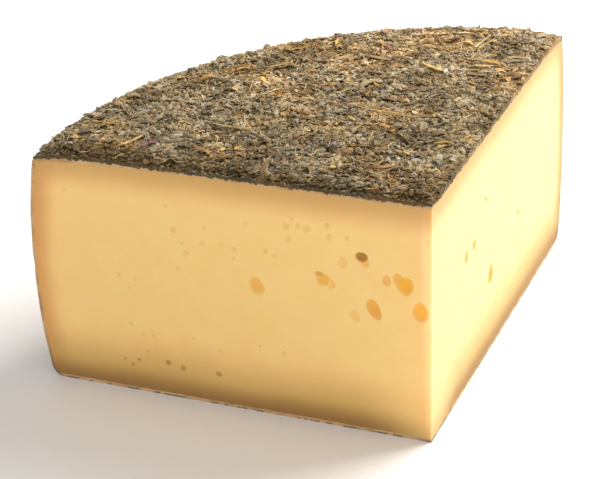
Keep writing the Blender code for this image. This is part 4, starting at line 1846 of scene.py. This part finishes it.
    def trimmed(self, points: np.ndarray) -> np.ndarray:
        """Presses what stands past the two cuts back to them, as the knife left it.

        Args:
            points: The points of all bits.

        Returns:
            The pressed points.
        """
        wheel = self.skin.wheel
        tip = np.array([*wheel.axis, wheel.height])
        for side in Side:
            outward = KnifeCut(side, wheel).outward
            past = np.clip((points - tip) @ outward - self.proud, 0, None)
            points = points - self.knife_press * past[..., None] * outward
        return points


LEAF_STATIONS = ((-0.32, 0.75), (0.0, 1.0), (0.32, 0.8))
PETAL_STATIONS = ((-0.47, 0.35), (-0.25, 0.8), (0.05, 1.0), (0.3, 0.9), (0.46, 0.5))
STRAW_STATIONS = ((-0.49, 0.9), (0.0, 1.0), (0.49, 0.9))

# The second colour of each finish is its painted edge highlight.
LEAF_FINISH = BitFinish(
    "leaf_bits",
    shades(
        (0.0, 132, 114, 84), (0.25, 146, 128, 97), (0.6, 158, 141, 110), (0.9, 170, 154, 123),
        (1.0, 194, 178, 146),
    ),
    photo_colour(214, 196, 158),
)
BROWN_FINISH = BitFinish(
    "brown_bits",
    shades((0.0, 136, 108, 70), (0.5, 170, 140, 96), (1.0, 198, 164, 112)),
    photo_colour(206, 178, 130),
)
CRUMB_FINISH = BitFinish(
    "crumb_bits",
    shades((0.0, 116, 97, 66), (0.5, 142, 122, 87), (0.85, 160, 140, 103), (1.0, 194, 174, 134)),
    photo_colour(180, 160, 122),
)
PALE_FINISH = BitFinish(
    "pale_bits",
    shades((0.0, 164, 154, 122), (0.5, 188, 178, 146), (1.0, 220, 210, 186)),
    photo_colour(232, 222, 198),
    patch_share=0.2,
)
STRAW_FINISH = BitFinish(
    "straw_bits",
    shades((0.0, 150, 122, 78), (0.5, 190, 162, 112), (1.0, 232, 208, 158)),
    photo_colour(232, 212, 168),
)
GOLD_FINISH = BitFinish(
    "gold_petals",
    shades((0.0, 172, 132, 74), (0.5, 212, 168, 94), (1.0, 238, 200, 120)),
    photo_colour(238, 212, 158),
    edge_highlight_share=0.4,
    patch_share=0.35,
)
VIOLET_FINISH = BitFinish(
    "violet_petals",
    shades((0.0, 106, 97, 100), (0.5, 134, 124, 128), (1.0, 168, 158, 158)),
    photo_colour(182, 174, 174),
)
MAGENTA_FINISH = BitFinish(
    "magenta_petals",
    shades((0.0, 126, 86, 88), (1.0, 164, 116, 118)),
    photo_colour(178, 140, 140),
)


def marks(*rows: tuple[float, ...]) -> tuple[Mark, ...]:
    """Large bits in their own places, from rows of their values."""
    return tuple(Mark(*row) for row in rows)


GOLD_MARKS = marks(
    (106, 82.2, -9, 10.4, 0.15), (102.6, 81.6, -1, 8.6, 0.5), (101, 71.7, -46, 11.5, 0.7),
    (119, 71.6, -17, 8.1, 0.15), (122, 77.4, -29, 5.3, 0.5), (124, 81.9, -28, 5.4, 1.0),
    (124, 37.9, 3, 11.6, 0.6), (111, 38.8, 83, 6.4, 0.7), (55, 55.5, -61, 7.0, 0.85), (66, 47.0, -76, 5.2, 0.6),
    (39, 76.4, 15, 6.7, 0.7), (37, 77.7, 24, 4.8, 0.8), (52, 56.1, -34, 3.4, 0.7), (54, 79.8, -59, 4.6, 0.7),
    (87, 14.7, 61, 4.2, 0.9), (90, 58.9, -75, 4.6, 0.6), (83, 55.9, 56, 4.6, 0.6), (36, 53.5, -70, 4.0, 0.6),
    (34, 57.1, -63, 4.1, 0.7), (132, 80.0, 29, 4.8, 0.9), (87, 81.2, -38, 3.8, 0.4),
)
STRAW_MARKS = marks(
    (71, 54.8, -46, 21.3, 0.6), (63, 62.3, -30, 9.2, 0.6), (89, 21.1, -66, 14.5, 0.6),
    (87, 24.8, 61, 10.1, 0.7), (118, 44.4, -31, 11.2, 0.7), (121, 46.9, 69, 11.2, 0.6),
    (132, 50.1, 6, 10.6, 0.4),
    (127, 53.2, -55, 13.5, 0.2), (125, 80.1, 72, 13.2, 0.85), (122, 80.9, 60, 9.5, 0.6),
    (113, 83.7, -48, 11.2, 0.3),
)
STICK_MARKS = marks(
    (74, 53.0, -46, 12.0, 0.5), (114, 4.6, -32, 7.3, 0.9), (112, 7.8, -13, 6.0, 0.8), (29, 37.3, -37, 8.9, 0.3),
    (54, 16.0, -7, 3.9, 0.3), (95, 81.1, -7, 7.7, 0.7),
)
PALE_MARKS = marks(
    (97, 74.8, -87, 6.4, 1.0), (133, 76.5, -15, 6.7, 0.8), (111, 37.2, 11, 4.6, 1.0), (98, 51.9, 9, 3.6, 0.9),
    (86, 61.4, -52, 5.3, 0.3), (49, 84.2, 19, 2.9, 1.0), (128, 7.3, -31, 2.8, 0.9), (75, 78.5, 4, 1.8, 1.0),
    (64, 66.3, -72, 3.5, 0.6), (112, 87.0, 12, 8.6, 0.5),
)
GREEN_MARKS = marks((113, 60.9, -40, 13.4, 0.6), (108.5, 87.4, 14, 7.0, 0.1))
VIOLET_MARKS = marks(
    (85, 84.6, 10, 5.0, 0.5), (87, 85.0, -42, 4.4, 0.3), (84, 84.0, 60, 3.4, 0.8), (87, 78.4, 3, 2.4, 0.2),
    (117, 51.0, -35, 5.0, 0.8), (115, 52.9, -1, 4.9, 0.9), (53, 31.1, -54, 4.2, 0.4), (44, 34.6, -63, 3.8, 0.6),
    (132, 6.5, -51, 5.2, 0.3), (126, 4.6, 88, 5.4, 0.4), (64, 78.6, 4, 3.4, 0.6), (83, 29.2, -14, 2.2, 0.2),
)
MAGENTA_MARKS = marks(
    (120, 63.0, 5, 3.4, 0.5), (120, 63.9, -64, 4.6, 0.3), (106, 5.9, -12, 4.5, 0.6), (105, 7.1, -46, 4.2, 0.8),
    (131, 72.0, -57, 3.5, 0.6),
)


@dataclass(frozen=True)
class Light:
    """A soft square light that looks at the wedge, from a direction, with its power in watts."""

    name: str
    direction: Triple
    distance: float
    size: float
    power: float
    colour: Triple

    def build(self) -> bpy.types.Object:
        """Adds the light.

        Returns:
            The light.
        """
        data = bpy.data.lights.new(self.name, "AREA")
        data.size = self.size
        data.energy = self.power
        data.color = self.colour
        light = bpy.data.objects.new(self.name, data)
        bpy.context.scene.collection.objects.link(light)
        away = Vector(self.direction).normalized()
        turn = away.to_track_quat("Z", "Y").to_matrix().to_4x4()
        light.matrix_world = Matrix.Translation(away * self.distance) @ turn
        return light


@dataclass(frozen=True)
class Studio:
    """The camera at the photograph's angle, a pale floor and soft light from the right and behind."""

    axis: Pair
    azimuth: float = 23.68
    elevation: float = 29.08
    roll: float = -3.71
    target: Triple = (-65.04 * MM, 42.94 * MM, 45 * MM)
    distance: float = 709.6 * MM
    lens: float = 119.55
    sensor: float = 36
    clip_start: float = 0.01
    sky: float = 0.62
    floor_size: float = 8.0
    floor_drop: float = 0.02 * MM
    floor_colour: Colour = photo_colour(243, 239, 234)
    floor_patch: Colour = photo_colour(243, 241, 240)
    floor_patch_size: float = 400 * MM
    lights: tuple[Light, ...] = (
        Light("key", (0.58, 0.68, 0.74), 1.6, 0.9, 33, (1.0, 0.98, 0.95)),
        Light("fill", (-0.1, -1.0, 0.16), 1.8, 1.2, 6.5, (1.0, 0.98, 0.96)),
    )

    def camera(self) -> bpy.types.Object:
        """Adds the camera.

        Returns:
            The camera.
        """
        azimuth, elevation, roll = (math.radians(value) for value in (self.azimuth, self.elevation, self.roll))
        right = Vector((math.cos(azimuth), math.sin(azimuth), 0))
        ahead = Vector((
            -math.sin(azimuth) * math.cos(elevation),
            math.cos(azimuth) * math.cos(elevation),
            -math.sin(elevation),
        ))
        up = right.cross(ahead)
        side = right * math.cos(roll) + up * math.sin(roll)
        top = up * math.cos(roll) - right * math.sin(roll)
        data = bpy.data.cameras.new("camera")
        data.lens = self.lens
        data.sensor_width = self.sensor
        data.clip_start = self.clip_start
        camera = bpy.data.objects.new("camera", data)
        bpy.context.scene.collection.objects.link(camera)
        place = Vector(self.target) + Vector((*self.axis, 0)) - ahead * self.distance
        camera.matrix_world = Matrix.Translation(place) @ Matrix((side, top, -ahead)).transposed().to_4x4()
        bpy.context.scene.camera = camera
        return camera

    def floor(self) -> bpy.types.Object:
        """Adds the floor.

        Returns:
            The floor.
        """
        half = self.floor_size / 2
        corners = np.array([(-half, -half, 0), (half, -half, 0), (half, half, 0), (-half, half, 0)])
        corners = corners - (0, 0, self.floor_drop)
        mesh = triangle_mesh("floor", corners, np.array([(0, 1, 2), (0, 2, 3)]), False)
        graph = Graph("floor")
        colour = graph.mix(graph.noise(self.floor_patch_size), self.floor_colour, self.floor_patch)
        graph.surface({"Base Color": colour, "Roughness": 0.7, "Specular IOR Level": 0.2})
        floor = place_piece("floor", mesh, graph.material)
        return floor

    def world(self) -> None:
        """Adds the even light of the studio."""
        world = bpy.data.worlds.new("studio")
        world.use_nodes = True
        background = world.node_tree.nodes["Background"]
        background.inputs["Color"].default_value = (1, 1, 1, 1)
        background.inputs["Strength"].default_value = self.sky
        bpy.context.scene.world = world

    def build(self) -> None:
        """Sets up the whole studio."""
        self.camera()
        self.floor()
        self.world()
        for light in self.lights:
            light.build()
        bpy.context.scene.view_settings.view_transform = "Standard"


def loose_bits() -> list[Bits]:
    """The kinds of bit that lie all over the coat.

    Returns:
        The scatters, from the lowest layer to the highest.
    """
    leaf = BitShape(
        Outline.LEAF, LEAF_STATIONS, mm(1.9, 4.6), mm(1.3, 3.0), mm(0.12, 0.3),
        arch=0.09, twist=0.35, cup=0.4, crumple=0.13, smooth=True,
    )
    curl = BitShape(
        Outline.LEAF, LEAF_STATIONS, mm(1.8, 4.6), mm(0.5, 1.3), mm(0.12, 0.25),
        arch=0.11, sway=0.2, twist=0.4, cup=0.6, crumple=0.12, smooth=True,
    )
    big_leaf = BitShape(
        Outline.PETAL, PETAL_STATIONS, mm(5.0, 9.0), mm(2.0, 3.4), mm(0.2, 0.35),
        arch=0.05, cup=0.35, crumple=0.12, smooth=True,
    )
    crumb = BitShape(Outline.CRUMB, ((0.0, 1.0),), mm(0.9, 2.6), mm(0.7, 1.6), mm(0.2, 0.5))
    straw = BitShape(
        Outline.STRAW, STRAW_STATIONS, mm(2.0, 6.5), mm(0.3, 0.6), mm(0.25, 0.45), arch=0.06, sway=0.1,
    )
    stick = BitShape(
        Outline.PETAL, PETAL_STATIONS, mm(4.0, 9.0), mm(1.1, 1.9), mm(0.7, 1.1),
        arch=0.04, sway=0.06, cup=0.1, crumple=0.12,
    )
    petal = BitShape(
        Outline.PETAL, PETAL_STATIONS, mm(3.0, 8.0), mm(0.9, 1.6), mm(0.12, 0.25),
        arch=0.08, sway=0.12, cup=0.35, crumple=0.26, smooth=True,
    )
    small_petal = BitShape(
        Outline.LEAF, LEAF_STATIONS, mm(1.2, 2.8), mm(0.7, 1.4), mm(0.12, 0.25),
        arch=0.12, cup=0.35, crumple=0.15, smooth=True,
    )
    pale_curl = BitShape(
        Outline.STRAW, PETAL_STATIONS, mm(2.5, 6.0), mm(0.4, 0.8), mm(0.3, 0.5),
        arch=0.08, sway=0.32, smooth=True,
    )
    low, high = mm(-0.3, 0.4), mm(0.2, 0.6)
    return [
        Bits("crumbs", crumb, CRUMB_FINISH, 9000, mm(-0.3, 0.15), 5, 8, on_walls=800, on_rim=190),
        Bits("leaf_flakes", leaf, LEAF_FINISH, 5000, mm(-0.2, 0.3), 7, 11, 0.8 * MM, on_walls=240),
        Bits("leaf_curls", curl, LEAF_FINISH, 3000, mm(0.0, 0.4), 9, 16, 0.8 * MM, on_walls=160, on_rim=90),
        Bits("brown_flakes", leaf, BROWN_FINISH, 460, mm(-0.1, 0.35), 4, 6, 1.0 * MM, on_walls=40),
        Bits("pale_flakes", small_petal, PALE_FINISH, 600, mm(0.0, 0.4), 6, 12, 1.2 * MM,
             on_walls=50, marks=PALE_MARKS),
        Bits("green_leaves", big_leaf, LEAF_FINISH, 200, low, 5, 8, margin=4 * MM, marks=GREEN_MARKS),
        Bits("pale_curls", pale_curl, PALE_FINISH, 520, mm(0.0, 0.5), 7, 14, 1.5 * MM),
        Bits("straws", straw, STRAW_FINISH, 1300, mm(0.0, 0.6), 5, margin=1.2 * MM, marks=STRAW_MARKS),
        Bits("sticks", stick, STRAW_FINISH, 26, low, 4, 10, 5 * MM, marks=STICK_MARKS),
        Bits("gold_petals", petal, GOLD_FINISH, 34, high, 5, 12, 5 * MM, start=45 * MM, marks=GOLD_MARKS),
        Bits("gold_bits", small_petal, GOLD_FINISH, 200, high, 8, 16, 2 * MM),
        Bits("violet_bits", small_petal, VIOLET_FINISH, 130, high, 12, 24, 2 * MM, 6, 3 * MM,
             marks=VIOLET_MARKS),
        Bits("magenta_bits", small_petal, MAGENTA_FINISH, 18, high, 12, 24, 2 * MM, 3, 2 * MM,
             marks=MAGENTA_MARKS),
    ]


def main() -> None:
    """Builds the wedge, its herb coat and the studio."""
    logging.basicConfig(level=logging.INFO, format="%(name)s: %(message)s")
    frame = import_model()
    wheel = Wheel.from_frame(frame["nodes"]["cheese_wedge"])
    skin = Skin(wheel)
    Studio(wheel.axis).build()
    pieces = [CheeseWedge(skin, EyeTables(), PasteFinish()).dress()]
    coat = Coat(skin)
    tone = CoatTone(wheel.axis[1])
    pieces.append(HerbMat(coat, MatFinish(tone)).dress())
    scatter = Scatter(coat, tone)
    pieces += [scatter.spread(bits) for bits in loose_bits()]
    for piece in pieces:
        LOG.info("%s: %d faces", piece.name, len(piece.data.polygons))


if __name__ == "__main__":
    main()
